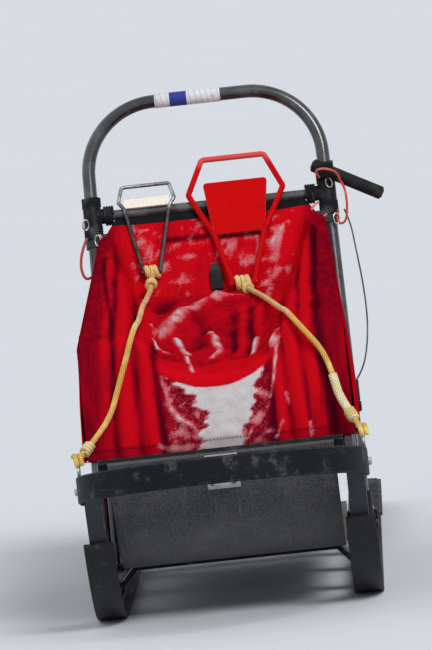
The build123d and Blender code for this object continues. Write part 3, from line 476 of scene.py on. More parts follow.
bed = Finish("bed_plastic", shine=0.2)
point = bed.point()
x, y, z = bed.parted(point)
speckle = bed.noise(point, 260, 5, 0.75)
cloud = bed.noise(point, 16, 5, 0.65)
score = bed.noise(bed.stretched(point, 180, 5, 5), 1.0, 5, 0.75)
share = speckle.rise(0.40, 0.68) * 0.55 + cloud.rise(0.45, 0.75) * 0.25 + score.rise(0.58, 0.7) * 0.5
# Paler low on the nose: rime, and the brushbow's painted shadow leaving the curl above darker.
share = share + z.rise(NOSE_PALE_FROM, NOSE_PALE_TO) * speckle * 0.9
bed.feed("Base Color", bed.mix(share.most(edge_share(bed, 0.003) * 0.6), BED_DARK, BED_PALE))
bed.feed("Roughness", speckle * 0.2 + 0.45)
bed.rounded(0.002, speckle + score, 0.0007)
bed.dress("bed")


# Bare steel: the tow eye on the nose, the two rope eyes on the brushbow, the brake's claws and pin
# and the mat's rod, all brushed and a little stained.
STEEL = (0.42, 0.42, 0.41)
STEEL_DULL = (0.16, 0.155, 0.15)


def brushed_steel(name, bright, dull, stretch):
    finish = Finish(name, metallic=1.0)
    point = finish.point()
    brushing = finish.noise(finish.stretched(point, *stretch), 1.0, 3)
    stain = finish.noise(point, 38, 6, 0.65)
    pits = finish.noise(point, 240, 4).rise(0.62, 0.74)
    share = (stain.rise(0.45, 0.75) * 0.7).most(pits * 0.6)
    finish.feed("Base Color", finish.mix(share, bright, dull))
    finish.feed("Roughness", brushing * 0.18 + stain * 0.2 + 0.16)
    finish.rounded(0.0012, brushing - pits, 0.0003)
    return finish


steel_finish = brushed_steel("steel_brushed", STEEL, STEEL_DULL, (40, 900, 900))
steel_finish.dress("tow_eye", "line_eye_left", "line_eye_right", "brake_claws", "brake_pin", "mat_rod")


# The bolts: zinc-plated hexagon heads on washers, two in each foot of the bridges, the crosspiece
# and the leg sockets, and on the brushbow's ends, the nose bar and the tow eye's flange.
BOLT_RADIUS = 0.0068
BOLT_HEIGHT = 0.0050
WASHER_RADIUS = 0.0085
WASHER_HEIGHT = 0.0016
ZINC = (0.52, 0.52, 0.51)
ZINC_DULL = (0.22, 0.21, 0.20)
RUNNER_OUT = 0.255
BRIDGES = (-0.545, -0.190, 0.120)
BRIDGE_BOLTS = 0.0195        # before and behind the bridge's middle
BRIDGE_FOOT = 0.068
CROSSPIECE = (0.255, 0.081)  # place along and height of its top
SOCKET_FOOT = 0.062
BOW_END = (-0.892, 0.282, 0.137)   # place along, height, and rise for each metre forward
BOW_OUT = 0.282
NOSE_FOOT = Vector((0, -0.9058, 0.2650))
NOSE_UP = Vector((0, -0.5, 0.8660))
NOSE_OUT = Vector((0, -0.8660, -0.5))
NOSE_BAR_UP = 0.055
FLANGE_BOLTS_OUT = 0.022
FLANGE_THICKNESS = 0.005
UPWARDS = Vector((0, 0, 1))


def soften_edges(offset, segments, cuts=0):
    """Bevel all edges of the active piece, and cut its faces up where they have to bend."""
    bpy.ops.object.mode_set(mode="EDIT")
    bpy.ops.mesh.select_all(action="SELECT")
    bpy.ops.mesh.bevel(offset=offset, segments=segments, affect="EDGES")
    if cuts:
        bpy.ops.mesh.subdivide(number_cuts=cuts)
    bpy.ops.object.mode_set(mode="OBJECT")


def add_disc(vertices, radius, height, foot, bevel, segments):
    """A short upright cylinder with bevelled edges, standing at a height."""
    bpy.ops.mesh.primitive_cylinder_add(
        vertices=vertices, radius=radius, depth=height, location=(0, 0, foot + height / 2)
    )
    soften_edges(bevel, segments)
    return bpy.context.object


bpy.ops.object.select_all(action="DESELECT")
bolt_head = add_disc(6, BOLT_RADIUS, BOLT_HEIGHT, WASHER_HEIGHT, 0.0007, 2)
add_disc(24, WASHER_RADIUS, WASHER_HEIGHT, 0, 0.0003, 1)
bolt_head.select_set(True)
bpy.context.view_layer.objects.active = bolt_head
bpy.ops.object.join()
bpy.ops.object.transform_apply(location=True, rotation=True, scale=True)
bolt_mesh = bolt_head.data
bpy.data.objects.remove(bolt_head)

zinc = brushed_steel("bolt_zinc", ZINC, ZINC_DULL, (300, 300, 300))
bolts = []


def place_bolt(place, facing, scale, turn=0.4):
    """A copy of the bolt head, its washer's back at the place, facing away from its seat."""
    mesh = bolt_mesh.copy()
    pose = Matrix.Translation(place) @ Vector(facing).to_track_quat("Z", "Y").to_matrix().to_4x4()
    mesh.transform(pose @ Matrix.Rotation(turn, 4, "Z") @ Matrix.Scale(scale, 4))
    bolts.append(linked("bolt_%02d" % (len(bolts) + 1), mesh))
    fit(bolts[-1], zinc, "steel")


for side in (-1, 1):
    for index, middle in enumerate(BRIDGES):
        for step in (-BRIDGE_BOLTS, BRIDGE_BOLTS):
            foot = (side * RUNNER_OUT, middle + step, BRIDGE_FOOT)
            place_bolt(foot, UPWARDS, 0.9, index + 30 * step)
    for out in (0.242, 0.269):
        place_bolt((side * out, *CROSSPIECE), UPWARDS, 0.9, out * 50)
    for along in (0.1605, 0.2195):
        place_bolt((side * RUNNER_OUT, along, SOCKET_FOOT), UPWARDS, 0.7, along * 50)
    for along in (-0.903, -0.936):
        height = BOW_END[1] + (BOW_END[0] - along) * BOW_END[2]
        place_bolt((side * BOW_OUT, along, height), (side, 0, 0), 1.0, along * 50)
    for out in (0.075, 0.165):
        seat = NOSE_FOOT + NOSE_UP * NOSE_BAR_UP
        seat.x = side * out
        place_bolt(seat, NOSE_OUT, 0.9, out * 50)
    for up in (0.038, 0.066):
        seat = NOSE_FOOT + NOSE_UP * up + NOSE_OUT * FLANGE_THICKNESS
        seat.x = side * FLANGE_BOLTS_OUT
        place_bolt(seat, NOSE_OUT, 0.75, up * 50)


# The handlebar, crossbars, side rails and posts: aluminium tube, powder-coated gloss black, with
# fine scratches that run along it and a patchy grey bloom of rime.
TUBE_BLACK = (0.010, 0.010, 0.012)
TUBE_RIME = (0.10, 0.105, 0.115)
CROSSBAR_BLACK = (0.030, 0.031, 0.034)
CROSSBAR_RIME = (0.20, 0.20, 0.21)


def coated_tube(name, colour, bloom, stretch):
    finish = Finish(name, coat_roughness=0.12)
    point = finish.point()
    peel = finish.noise(point, 420, 2)
    cloud = finish.noise(point, 18, 5, 0.6)
    score = finish.noise(finish.stretched(point, *stretch), 130, 4, 0.7)
    share = cloud.rise(0.42, 0.72) * 0.5 + score.rise(0.62, 0.74) * 0.5
    finish.feed("Base Color", finish.mix(share, colour, bloom))
    finish.feed("Roughness", cloud * 0.22 + 0.16)
    finish.feed("Coat Weight", (0.75 - cloud * 0.6).least(0.6))
    finish.bump(peel * 0.4 + score, 0.0002)
    return finish


tube_finish = coated_tube("tube_black", TUBE_BLACK, TUBE_RIME, (0.2, 1, 0.2))
tube_finish.dress("handlebar", "side_rail_left", "side_rail_right", "post_front_left", "post_front_right")
tube_finish.dress("post_middle_left", "post_middle_right")
across_tube = coated_tube("crossbar_black", CROSSBAR_BLACK, CROSSBAR_RIME, (0.1, 1, 1))
across_tube.dress("crossbar_upper", "crossbar_lower")


# The tube joints, the leg sockets and the grip's clamp: satin black castings of nylon, clamped
# tight round the tubes and knocked pale on their edges.
JOINT_BLACK = (0.009, 0.009, 0.0105)


def satin_casting(name, colour, worn):
    finish = Finish(name, shine=0.1)
    point = finish.point()
    grain = finish.noise(point, 600, 3)
    cloud = finish.noise(point, 45, 5)
    edges = edge_share(finish, 0.0022) * finish.noise(point, 90, 4).rise(0.42, 0.62)
    finish.feed("Base Color", finish.mix((cloud.rise(0.5, 0.8) * 0.2).most(edges * 0.5), colour, worn))
    finish.feed("Roughness", cloud * 0.2 + 0.3)
    finish.rounded(0.0015, grain + cloud, 0.0004)
    return finish


joint_finish = satin_casting("joint_black", JOINT_BLACK, CHEWED_GREY)
joint_finish.dress("upper_joint_left", "upper_joint_right", "lower_joint_left", "lower_joint_right")
joint_finish.dress("leg_socket_left", "leg_socket_right", "grip_clamp")


# The tape on the middle of the handlebar: cotton tape wound tightly in three bands, white, blue and
# white, and darker at the edge of each turn.
TAPE_BANDS = [
    ("white_left", -0.094, -0.062, (0.62, 0.63, 0.64)),
    ("blue", -0.062, -0.026, (0.012, 0.028, 0.24)),
    ("white_right", -0.026, 0.045, (0.66, 0.67, 0.68)),
]
TAPE_RADIUS = 0.0151
TAPE_PITCH = 0.012
TAPE_WEAVE = 0.0011
HOOP_TOP = (0.450, 0.970)    # place along and height
SMOOTH_BELOW = radians(40)   # edges that turn less than this are shaded round

for name, start, end, colour in TAPE_BANDS:
    bpy.ops.object.select_all(action="DESELECT")
    bpy.ops.mesh.primitive_cylinder_add(
        vertices=48,
        radius=TAPE_RADIUS,
        depth=end - start,
        location=((start + end) / 2, *HOOP_TOP),
        rotation=(0, pi / 2, 0),
    )
    band = bpy.context.object
    band.name = "handle_tape_" + name
    soften_edges(0.0005, 2)
    bpy.ops.object.transform_apply(location=True, rotation=True, scale=True)
    bpy.ops.object.shade_smooth_by_angle(angle=SMOOTH_BELOW)
    tape = Finish("tape_" + name, roughness=0.72)
    point = tape.point()
    x, y, z = tape.parted(point)
    turns = ((x + z * 0.18) / TAPE_PITCH).part()
    lap = turns.rise(0.0, 0.12) * turns.rise(1.0, 0.9)
    weave = x.waves(TAPE_WEAVE) * z.waves(TAPE_WEAVE)
    grime = tape.noise(point, 70, 5)
    share = (1 - lap) * 0.55 + grime.rise(0.5, 0.8) * 0.3
    tape.feed("Base Color", tape.mix(share, colour, shaded(colour, 0.3)))
    tape.bump(turns * 0.7 + weave * 0.15, 0.0006)
    fit(band, tape, "grip_rubber")


# The bag's cover: one sheet of red coated nylon, hung over the side rails and the front. It dips
# into the open tub and runs up to the crossbar behind. Its long folds are pulled fore and aft and
# go on down the front, where frost has caught in the sag.
CLOTH_THICKNESS = 0.0016
CLOTH_OUT = 0.014            # from the rail's middle to the cloth's
CLOTH_CORNER = 0.014
NYLON_SHINE = 0.0
STITCH = 0.006
RAIL_REAR = (0.398, 0.22403, 0.695)   # place along, distance out and height of the rail's middle
RAIL_FRONT = (-0.758, 0.247, 0.548)
HEM_HEIGHT = 0.332
HEM_HALF = 0.261
REAR_EDGE = 0.335
SOFT_HALF = 0.215            # the cloth is eased out this far to each side, short of the rails
FACE_PLACE = (-0.7722, 0.548)         # a point of the leaning front face, along and up
FACE_LEAN = 0.22423
FACE_STRETCH = 1.02                   # length down the leaning face for each metre of height
LEG_PLACE = (0.1619, 0.062)           # the flaps' rear edge where it would meet the leg's foot
LEG_LEAN = 0.28634
APRON_EDGE = (0.199, 0.3742, 0.7358)
APRON_RUN = 1.11                      # how much further along the cloth it lies than its place tells
# place along, half widths of the dip above and below, its depths there and in the middle
DIP_STATIONS = [
    (0.335, 0.201, 0.171, 0.006, 0.008),
    (0.250, 0.206, 0.173, 0.118, 0.128),
    (-0.150, 0.186, 0.141, 0.074, 0.092),
    (-0.830, 0.151, 0.093, 0.068, 0.092),
]
FLOOR_COLUMNS, WALL_COLUMNS, RIM_COLUMNS, CORNER_COLUMNS = 22, 12, 12, 4
INNER_COLUMNS = FLOOR_COLUMNS + WALL_COLUMNS + RIM_COLUMNS
COVER_ROWS, FLAP_ROWS, APRON_ROWS = 140, 42, 7
TOP, FRONT, FLAP, APRON = range(4)    # the cover's zones
BINDING_BLACK = (0.012, 0.012, 0.014)
# The red nylon lit and in painted shade; the shaded red also colours the hem band and the stitches.
RED_LIT = (0.52, 0.003, 0.009)
RED_SHADE_AND_SEAM = (0.080, 0.001, 0.009)
RED_FROSTED_AND_GLINT = (0.54, 0.14, 0.165)
FROST_AND_GLINT = (0.60, 0.555, 0.56)
# Long folds: distance from the middle at the rear, at the lip and at the hem, the runs behind and
# below the lip where each begins and ends, its height and its width
LONG_FOLDS = [
    (-0.212, -0.206, -0.222, 0.95, -0.24, 0.0045, 0.011),
    (-0.196, -0.190, -0.200, 1.00, -0.24, -0.0060, 0.006),
    (-0.176, -0.172, -0.182, 0.90, -0.24, 0.0070, 0.012),
    (-0.158, -0.150, -0.152, 0.70, -0.24, -0.0060, 0.007),
    (-0.140, -0.134, -0.126, 0.80, -0.24, 0.0060, 0.011),
    (-0.122, -0.116, -0.106, 0.30, -0.24, -0.0045, 0.007),
    (-0.100, -0.100, -0.086, 0.02, -0.24, 0.0040, 0.009),
    (0.212, 0.204, 0.224, 1.00, -0.24, -0.0060, 0.006),
    (0.194, 0.188, 0.204, 0.95, -0.24, 0.0055, 0.010),
    (0.180, 0.170, 0.182, 0.95, -0.24, -0.0045, 0.006),
    (0.164, 0.154, 0.164, 0.95, -0.24, 0.0070, 0.012),
    (0.146, 0.138, 0.146, 0.60, -0.24, -0.0055, 0.007),
    (0.130, 0.124, 0.128, 0.75, -0.24, 0.0055, 0.010),
    (0.112, 0.112, 0.110, 0.02, -0.24, -0.0045, 0.007),
    (0.092, 0.086, 0.090, 0.66, 0.16, 0.0060, 0.009),
    (0.076, 0.070, 0.070, 0.70, 0.12, -0.0060, 0.007),
    (0.060, 0.052, 0.050, 0.76, 0.14, 0.0070, 0.010),
    (0.042, 0.036, 0.030, 0.66, 0.20, -0.0055, 0.008),
]
# Short folds: height, width, how much frost lies on them (below 0, how deep their painted shade is), and
# their points. Raised ones also get a painted highlight, and their pale strokes are partly frost and
# partly painted glints.
SHORT_FOLDS = [
    (0.012, 0.019, 0.74, [
        (-0.118, -0.460, 0.530), (-0.095, -0.336, 0.538), (-0.079, -0.207, 0.549),
        (-0.062, -0.089, 0.556), (-0.031, 0.020, 0.557), (0.001, 0.093, 0.559),
    ]),
    (0.009, 0.010, 0.70, [(0.001, 0.093, 0.559), (0.026, 0.092, 0.560), (0.050, 0.085, 0.560)]),
    (-0.010, 0.020, -0.30, [(-0.122, -0.120, 0.560), (-0.112, 0.022, 0.563), (-0.100, 0.160, 0.566)]),
    (0.008, 0.009, 1.10, [(-0.010, -0.330, 0.527), (-0.002, -0.413, 0.517), (0.009, -0.516, 0.504)]),
    (0.007, 0.008, 1.00, [(0.009, -0.516, 0.504), (0.012, -0.560, 0.499), (-0.004, -0.610, 0.494)]),
    (0.007, 0.009, 1.10, [(-0.078, -0.420, 0.525), (-0.067, -0.509, 0.512), (-0.054, -0.580, 0.500)]),
    (0.005, 0.005, 1.10, [(-0.056, -0.600, 0.498), (-0.048, -0.700, 0.485), (-0.043, -0.774, 0.475)]),
    (0.006, 0.008, 1.15, [(-0.126, -0.560, 0.533), (-0.110, -0.590, 0.517), (-0.092, -0.590, 0.510)]),
    (0.005, 0.006, 0.90, [(-0.132, -0.380, 0.552), (-0.126, -0.460, 0.543), (-0.122, -0.510, 0.536)]),
    (0.007, 0.008, 1.05, [(0.088, -0.560, 0.511), (0.082, -0.620, 0.503), (0.077, -0.665, 0.498)]),
    (0.006, 0.009, 0.95, [(0.122, -0.778, 0.520), (0.130, -0.774, 0.535), (0.134, -0.750, 0.542)]),
    (-0.006, 0.012, -0.10, [(-0.040, -0.140, 0.545), (-0.020, -0.300, 0.530), (-0.034, -0.480, 0.508)]),
    (0.005, 0.0036, 1.20, [
        (-0.125, -0.779, 0.530), (-0.103, -0.786, 0.499), (-0.098, -0.796, 0.455),
        (-0.092, -0.803, 0.423), (-0.076, -0.809, 0.397), (-0.052, -0.812, 0.382),
        (-0.036, -0.817, 0.362), (-0.032, -0.821, 0.337),
    ]),
    (0.003, 0.0070, 0.95, [(-0.090, -0.805, 0.418), (-0.076, -0.809, 0.397), (-0.058, -0.812, 0.386)]),
    (0.005, 0.0032, 1.10, [
        (0.128, -0.780, 0.520), (0.118, -0.790, 0.470), (0.110, -0.801, 0.433),
        (0.097, -0.808, 0.400), (0.072, -0.813, 0.378), (0.052, -0.820, 0.345),
    ]),
    (0.003, 0.005, 1.00, [(0.136, -0.803, 0.425), (0.139, -0.808, 0.408), (0.146, -0.812, 0.392)]),
    (0.003, 0.005, 1.00, [(0.126, -0.815, 0.376), (0.118, -0.818, 0.360), (0.110, -0.820, 0.345)]),
    (0.003, 0.006, 0.80, [(0.176, -0.814, 0.362), (0.180, -0.818, 0.350), (0.178, -0.820, 0.340)]),
    (0.002, 0.006, 0.80, [(-0.120, -0.818, 0.350), (-0.104, -0.820, 0.341), (-0.090, -0.821, 0.338)]),
    (0.006, 0.010, 0.25, [(-0.150, 0.330, 0.690), (-0.130, 0.290, 0.627), (-0.120, 0.245, 0.572)]),
    (0.006, 0.009, 0.64, [(0.145, 0.321, 0.677), (0.136, 0.305, 0.652), (0.123, 0.288, 0.627)]),
    (0.004, 0.004, 0.90, [(0.094, 0.321, 0.676), (0.093, 0.300, 0.643)]),
    (0.005, 0.010, 0.55, [(0.118, 0.230, 0.570), (0.114, 0.180, 0.568), (0.104, -0.161, 0.559)]),
    (0.003, 0.016, 0.62, [(-0.156, 0.327, 0.686), (-0.138, 0.322, 0.677), (-0.132, 0.306, 0.654)]),
    (0.002, 0.008, 0.52, [(-0.091, 0.320, 0.674), (-0.051, 0.319, 0.671), (-0.011, 0.318, 0.670)]),
    (0.002, 0.012, 0.52, [(0.016, 0.319, 0.671), (0.050, 0.318, 0.670), (0.086, 0.318, 0.671)]),
    (0.003, 0.010, 0.46, [(0.026, 0.300, 0.641), (0.066, 0.298, 0.638), (0.090, 0.290, 0.628)]),
    (0.005, 0.007, 0.80, [(0.160, 0.334, 0.694), (0.146, 0.326, 0.683), (0.125, 0.310, 0.659)]),
    (0.004, 0.008, 0.62, [(0.099, 0.253, 0.573), (0.129, 0.267, 0.596)]),
    (0.004, 0.008, 0.50, [(-0.126, 0.262, 0.592), (-0.085, 0.271, 0.599), (-0.045, 0.266, 0.590)]),
    (-0.005, 0.0035, -1.00, [
        (-0.222, 0.100, 0.672), (-0.218, -0.098, 0.649), (-0.209, -0.323, 0.620),
        (-0.198, -0.542, 0.592), (-0.188, -0.774, 0.560), (-0.191, -0.783, 0.500),
    ]),
    (-0.005, 0.0035, -1.00, [
        (0.210, 0.218, 0.689), (0.210, -0.024, 0.658), (0.211, -0.308, 0.622),
        (0.212, -0.542, 0.592), (0.212, -0.773, 0.555), (0.211, -0.784, 0.490),
    ]),
    (-0.003, 0.0030, -0.90, [
        (-0.170, 0.330, 0.691), (-0.097, 0.326, 0.683), (-0.057, 0.326, 0.681), (-0.006, 0.325, 0.679),
    ]),
]
# left and right edges of the frosted patch on the front, by height
PATCH_EDGES = [
    (0.330, -0.040, 0.046),
    (0.356, -0.036, 0.046),
    (0.385, -0.027, 0.062),
    (0.417, -0.040, 0.076),
    (0.444, -0.056, 0.078),
    (0.462, -0.078, 0.092),
    (0.480, -0.095, 0.100),
]
PATCH_TOP = (0.449, 3.2)              # height in the middle, and its rise over the distance out squared


def between(share, start, end):
    """Values that share of the way from one row of them to another."""
    return [a + (b - a) * share for a, b in zip(start, end)]


def rail_line(y):
    """Distance out and height of the side rail's middle at a place along the sled."""
    return between((RAIL_REAR[0] - y) / (RAIL_REAR[0] - RAIL_FRONT[0]), RAIL_REAR[1:], RAIL_FRONT[1:])


def cover_across(y):
    """The cloth's right half across, from the middle out to below the rail's corner."""
    out, height = rail_line(y)
    half, top = out + CLOTH_OUT, height + CLOTH_OUT
    along = min(max(y, DIP_STATIONS[-1][0]), DIP_STATIONS[0][0])
    for far, near in zip(DIP_STATIONS, DIP_STATIONS[1:]):
        if near[0] <= along <= far[0]:
            share = (along - near[0]) / (far[0] - near[0])
            high, low, depth, middle = between(share, near[1:], far[1:])
            break
    inner = half - CLOTH_CORNER
    points = []
    for step in range(FLOOR_COLUMNS):
        share = step / FLOOR_COLUMNS
        points.append((low * share, top - middle + (middle - depth) * share**2))
    for step in range(WALL_COLUMNS):
        share = step / WALL_COLUMNS
        points.append((low + (high - low) * share, top - depth * (1 - share)))
    for step in range(RIM_COLUMNS):
        points.append((high + (inner - high) * step / RIM_COLUMNS, top))
    for step in range(CORNER_COLUMNS + 1):
        angle = pi / 2 * step / CORNER_COLUMNS
        points.append((inner + CLOTH_CORNER * sin(angle), top - CLOTH_CORNER * (1 - cos(angle))))
    return points


def face_y(z):
    """Place along of the leaning front face at a height."""
    return FACE_PLACE[0] + (z - FACE_PLACE[1]) * FACE_LEAN


def settle(height_at):
    """Place along where a line of the cloth, given as its height at each place, meets the front."""
    y = FACE_PLACE[0]
    for attempt in range(6):
        y = face_y(height_at(y))
    return y


def flap_line(side, share):
    """A line along a side flap, at a share of the way from the rail down to the hem."""

    def height_at(y):
        return between(share, rail_line(y)[1:], [HEM_HEIGHT])[0]

    front, rear = settle(height_at), REAR_EDGE
    for attempt in range(4 if share else 0):
        rear = LEG_PLACE[0] + (height_at(rear) - LEG_PLACE[1]) * LEG_LEAN
    line = []
    for row in range(COVER_ROWS + 1):
        y = front + (rear - front) * row / COVER_ROWS
        half = rail_line(y)[0] + CLOTH_OUT
        out = side * (half + (HEM_HALF - half) * share)
        line.append((out, y, height_at(y), out, y - front, FLAP))
    return line[::-side]


def cloth_grid(lines):
    """Faces of the cloth between lines of points; points at one place share a vertex."""
    for line, after in zip(lines, lines[1:]):
        for points in zip(line, line[1:], after[1:], after):
            corners = []
            for point in points:
                place = tuple(round(value, 5) for value in point[:3])
                if place not in vertices:
                    vertices[place] = made.verts.new(point[:3])
                    facts.append(point[3:])
                corners.append(vertices[place])
            if len(set(corners)) > 2:
                made.faces.new([v for n, v in enumerate(corners) if v not in corners[:n]])


# The cloth's plain form is laid out line by line. A point of a line also tells how far across and
# along the cloth it lies, and its zone.
made = bmesh.new()
vertices, facts = {}, []
last = INNER_COLUMNS + CORNER_COLUMNS
columns = [(-1, index) for index in range(last, 0, -1)] + [(1, index) for index in range(last + 1)]
lips = [settle(lambda y, i=index: cover_across(y)[i][1]) for side, index in columns]
top_lines = []
for row in range(COVER_ROWS + 1):
    top_lines.append([])
    for (side, index), lip in zip(columns, lips):
        y = lip + (REAR_EDGE - lip) * row / COVER_ROWS
        x, z = cover_across(y)[index]
        top_lines[row].append((side * x, y, z, side * x, y - lip, TOP))
cloth_grid(top_lines)
lip_half = abs(top_lines[0][0][0])
front_lines = []
for row in range(FLAP_ROWS + 1):
    front_lines.append([])
    for x, y, z, *rest in top_lines[0]:
        height = z + (HEM_HEIGHT - z) * (row / FLAP_ROWS)
        out = x * (1 + (HEM_HALF / lip_half - 1) * (row / FLAP_ROWS))
        front_lines[row].append((out, face_y(height), height, x, (height - z) * FACE_STRETCH, FRONT))
cloth_grid(front_lines[::-1])
for side in (-1, 1):
    cloth_grid([flap_line(side, row / FLAP_ROWS) for row in range(FLAP_ROWS + 1)])
rim_half = cover_across(REAR_EDGE)[INNER_COLUMNS][0]
apron_lines = []
for row in range(APRON_ROWS + 1):
    share = row / APRON_ROWS
    apron_lines.append([])
    for (side, index), (x, y, z, *rest) in zip(columns, top_lines[-1]):
        if index <= INNER_COLUMNS:
            out = x * (1 + (APRON_EDGE[0] / rim_half - 1) * share)
            y, z = between(share, (REAR_EDGE, z), APRON_EDGE[1:])
            apron_lines[row].append((out, y, z, out, APRON_RUN + y, APRON))
cloth_grid(apron_lines)

cloth = list(made.verts)
bmesh.ops.recalc_face_normals(made, faces=made.faces)
soft = [v for v in cloth if not v.is_boundary and abs(v.co.x) < SOFT_HALF]
for repeat in range(5):
    bmesh.ops.smooth_vert(made, verts=soft, factor=0.5, use_axis_x=True, use_axis_y=True, use_axis_z=True)
made.normal_update()
if sum(face.normal.z for face in made.faces) < 0:
    bmesh.ops.reverse_faces(made, faces=made.faces)
    made.normal_update()
spots = np.array([v.co[:] for v in cloth])
normals = [v.normal.copy() for v in cloth]
out, along, height = spots.T
across, run, zone = np.array(facts).T
aside = np.abs(across)
on_front, on_flap, on_apron = [zone == number for number in (FRONT, FLAP, APRON)]
plan = np.stack([across, run, zone * 7.3], axis=1)


def smooth_step(value, low, high):
    """0 below low, 1 above high, smooth between, for an array."""
    share = np.clip((value - low) / (high - low), 0, 1)
    return share * share * (3 - 2 * share)


def rough(points, scale, seed=0.0):
    """Smooth noise between -1 and 1 at each row of an array, stretched by a scale for each column."""
    return np.array([noise.noise(Vector(row)) for row in points * np.array(scale) + seed])


def line_distance(line):
    """Distance of each of the cloth's vertices from a line of points."""
    nearest = np.full(len(spots), 9.0)
    for start, end in zip(line, line[1:]):
        start, step = np.array(start), np.array(end) - np.array(start)
        share = np.clip((spots - start) @ step / (step @ step), 0, 1)
        nearest = np.minimum(nearest, np.linalg.norm(spots - start - share[:, None] * step, axis=1))
    return nearest


# The folds lift the cloth; they also set its painted shading, from deep red painted shade in the valleys
# to bright red painted light on the ridges, and its frost and painted glints.
lift = np.zeros(len(spots))
frost = np.zeros(len(spots))
tone = np.full(len(spots), 0.55)
wander = rough(plan, (3, 5, 1)) * 0.006
for rear, lip, hem, begin, end, ridge, width in LONG_FOLDS:
    behind = lip + (rear - lip) * np.clip(run, 0, 1.1)
    below = lip + (hem - lip) * np.clip(-run / 0.2, 0, 1)
    shape = np.exp(-(((across - np.where(run > 0, behind, below) - wander) / width) ** 2)) * ~on_flap
    shape *= 1 - smooth_step(run, begin - 0.12, begin + 0.02)
    shape *= smooth_step(run, end - 0.02, end + 0.05) if end > 0 else 1
    shape *= 0.75 + 0.5 * rough(plan, (1, 9, 1), seed=ridge * 900)
    lift += ridge * shape
    # Painted light on the long folds' ridges, painted shade in their valleys.
    tone += shape * (0.34 if ridge > 0 else -0.70)
for ridge, width, white, line in SHORT_FOLDS:
    shape = np.exp(-((line_distance(line) / width) ** 2))
    lift += ridge * shape
    # Painted highlight on the raised short folds; the sunken ones get painted shade by their own amount.
    tone += shape * (0.25 if ridge > 0 else white - 0.2)
    if white > 0:
        broken = 0.85 + 0.8 * rough(spots, (70, 17, 70), seed=width * 500)
        frost = np.maximum(frost, white * shape * np.clip(broken, 0, 1.1))

# Crumples lie in the dip, on the front and, as waves that grow towards the hem, on the flaps.
crumple = 1 - np.abs(rough(plan, (16, 9, 1), seed=4.2)) * 2.2
fine = rough(plan, (44, 16, 1), seed=9.1)
dish = (aside < 0.15) & (zone == TOP)
lift += np.where(dish, 0.0055 * crumple + 0.0016 * fine, 0)
lift += np.where(on_front, 0.0022 * fine + 0.0022 * rough(plan, (24, 4, 1), seed=2.5), 0)
side_waves = rough(spots, (1, 12, 2), seed=3.3) + 0.5 * rough(spots, (1, 34, 3), seed=6.1)
low_down = smooth_step(-height, -0.68, -0.34)
lift += np.where(on_flap, (0.0015 + 0.0085 * low_down) * (side_waves + 0.35), 0)
# Painted light and shade follow the flaps' waves, the fine crumples and the crumples of the dip.
tone += np.where(on_flap, 0.30 * side_waves - 0.06, 0)
tone += 0.10 * fine + 0.10 * np.where(dish, crumple, 0)

# The arch at the lip gets a painted highlight in bright red, and stands over the frosted patch in the
# middle of the front.
crescent_highlight = (zone == TOP) * (1 - smooth_step(run, 0.085, 0.135 - 6 * across**2 + 0.02)) + on_front
crescent_highlight = crescent_highlight * (1 - smooth_step(aside, 0.095, 0.118))
above_patch = smooth_step(height - PATCH_TOP[0] - PATCH_TOP[1] * out**2, 0, 0.004)
crescent_highlight = crescent_highlight * np.where(on_front, above_patch, 1)
tone += 0.55 * crescent_highlight
lift += 0.004 * crescent_highlight
ragged = 0.016 * rough(spots, (10, 10, 90), seed=1.7) + 0.006 * rough(spots, (30, 30, 200), seed=5.7)
levels, left_edges, right_edges = zip(*PATCH_EDGES)
left_edge = np.interp(height, levels, left_edges) + ragged * 1.5
right_edge = np.interp(height, levels, right_edges) + ragged * 0.7
below_arch = on_front * (1 - above_patch)
patch = smooth_step(out, left_edge - 0.004, left_edge + 0.004)
patch *= 1 - smooth_step(out, right_edge - 0.004, right_edge + 0.004)
patch *= below_arch
frost = np.maximum(frost, patch)
lift += patch * 0.0025 * (1 + rough(spots, (60, 60, 60), seed=8.8))
shade_and_frost_beside_patch = below_arch * (1 - smooth_step(aside, 0.09, 0.12))
# Painted shade beside the patch.
tone -= 0.25 * shade_and_frost_beside_patch
streaks = smooth_step(rough(spots, (46, 46, 58), seed=7.7), -0.05, 0.55)
frost = np.maximum(frost, shade_and_frost_beside_patch * (0.25 + 0.36 * streaks))

# The slope up to the crossbar is mottled with frost and painted a little lighter as lit from above, and
# the cloth is taut there, at the buckle and over the rails.
slope = smooth_step(along, 0.215, 0.26) * ~on_flap * (1 - smooth_step(aside, 0.16, 0.2))
mottle = 0.5 + 0.5 * rough(spots, (34, 34, 60), seed=2.2) + 0.35 * rough(spots, (90, 90, 150), seed=5.2)
frost = np.maximum(frost, slope * 0.58 * smooth_step(mottle, 0.34, 0.92))
tone += 0.12 * slope
# Painted light on the front's corner pillars, and painted shade where the cloth turns over the rails.
lit_pillars = smooth_step(aside, 0.112, 0.132) * (1 - smooth_step(aside, 0.186, 0.202))
tone += np.where(on_flap, 0, 0.22 * lit_pillars - 0.22 * smooth_step(aside, 0.196, 0.222))
slack = (1 - smooth_step(along, 0.20, 0.27) * ~on_flap) * (1 - 0.6 * on_apron)
near_buckle = np.exp(-((out / 0.045) ** 2 + ((along - 0.266) / 0.04) ** 2))
lift *= (0.25 + 0.75 * slack) * (1 - 0.9 * near_buckle)
over_rail = ~on_flap * smooth_step(aside, 0.205, 0.225) * (run > 0) > 0.5
limits = ((over_rail, -0.001, 0.004), (on_flap, -0.0025, 0.011), (on_front, -0.006, 0.009))
for where, least, most in limits:
    lift = np.where(where, np.clip(lift, least, most), lift)
lift[np.array([v.is_boundary for v in cloth]) & on_apron] = 0
for v, normal, amount in zip(cloth, normals, lift):
    v.co += normal * amount
hem = np.where(on_front | on_flap, height - HEM_HEIGHT, 1.0)
hem = np.where(on_apron, (APRON_EDGE[1] - along) * 1.35 - 1, hem)

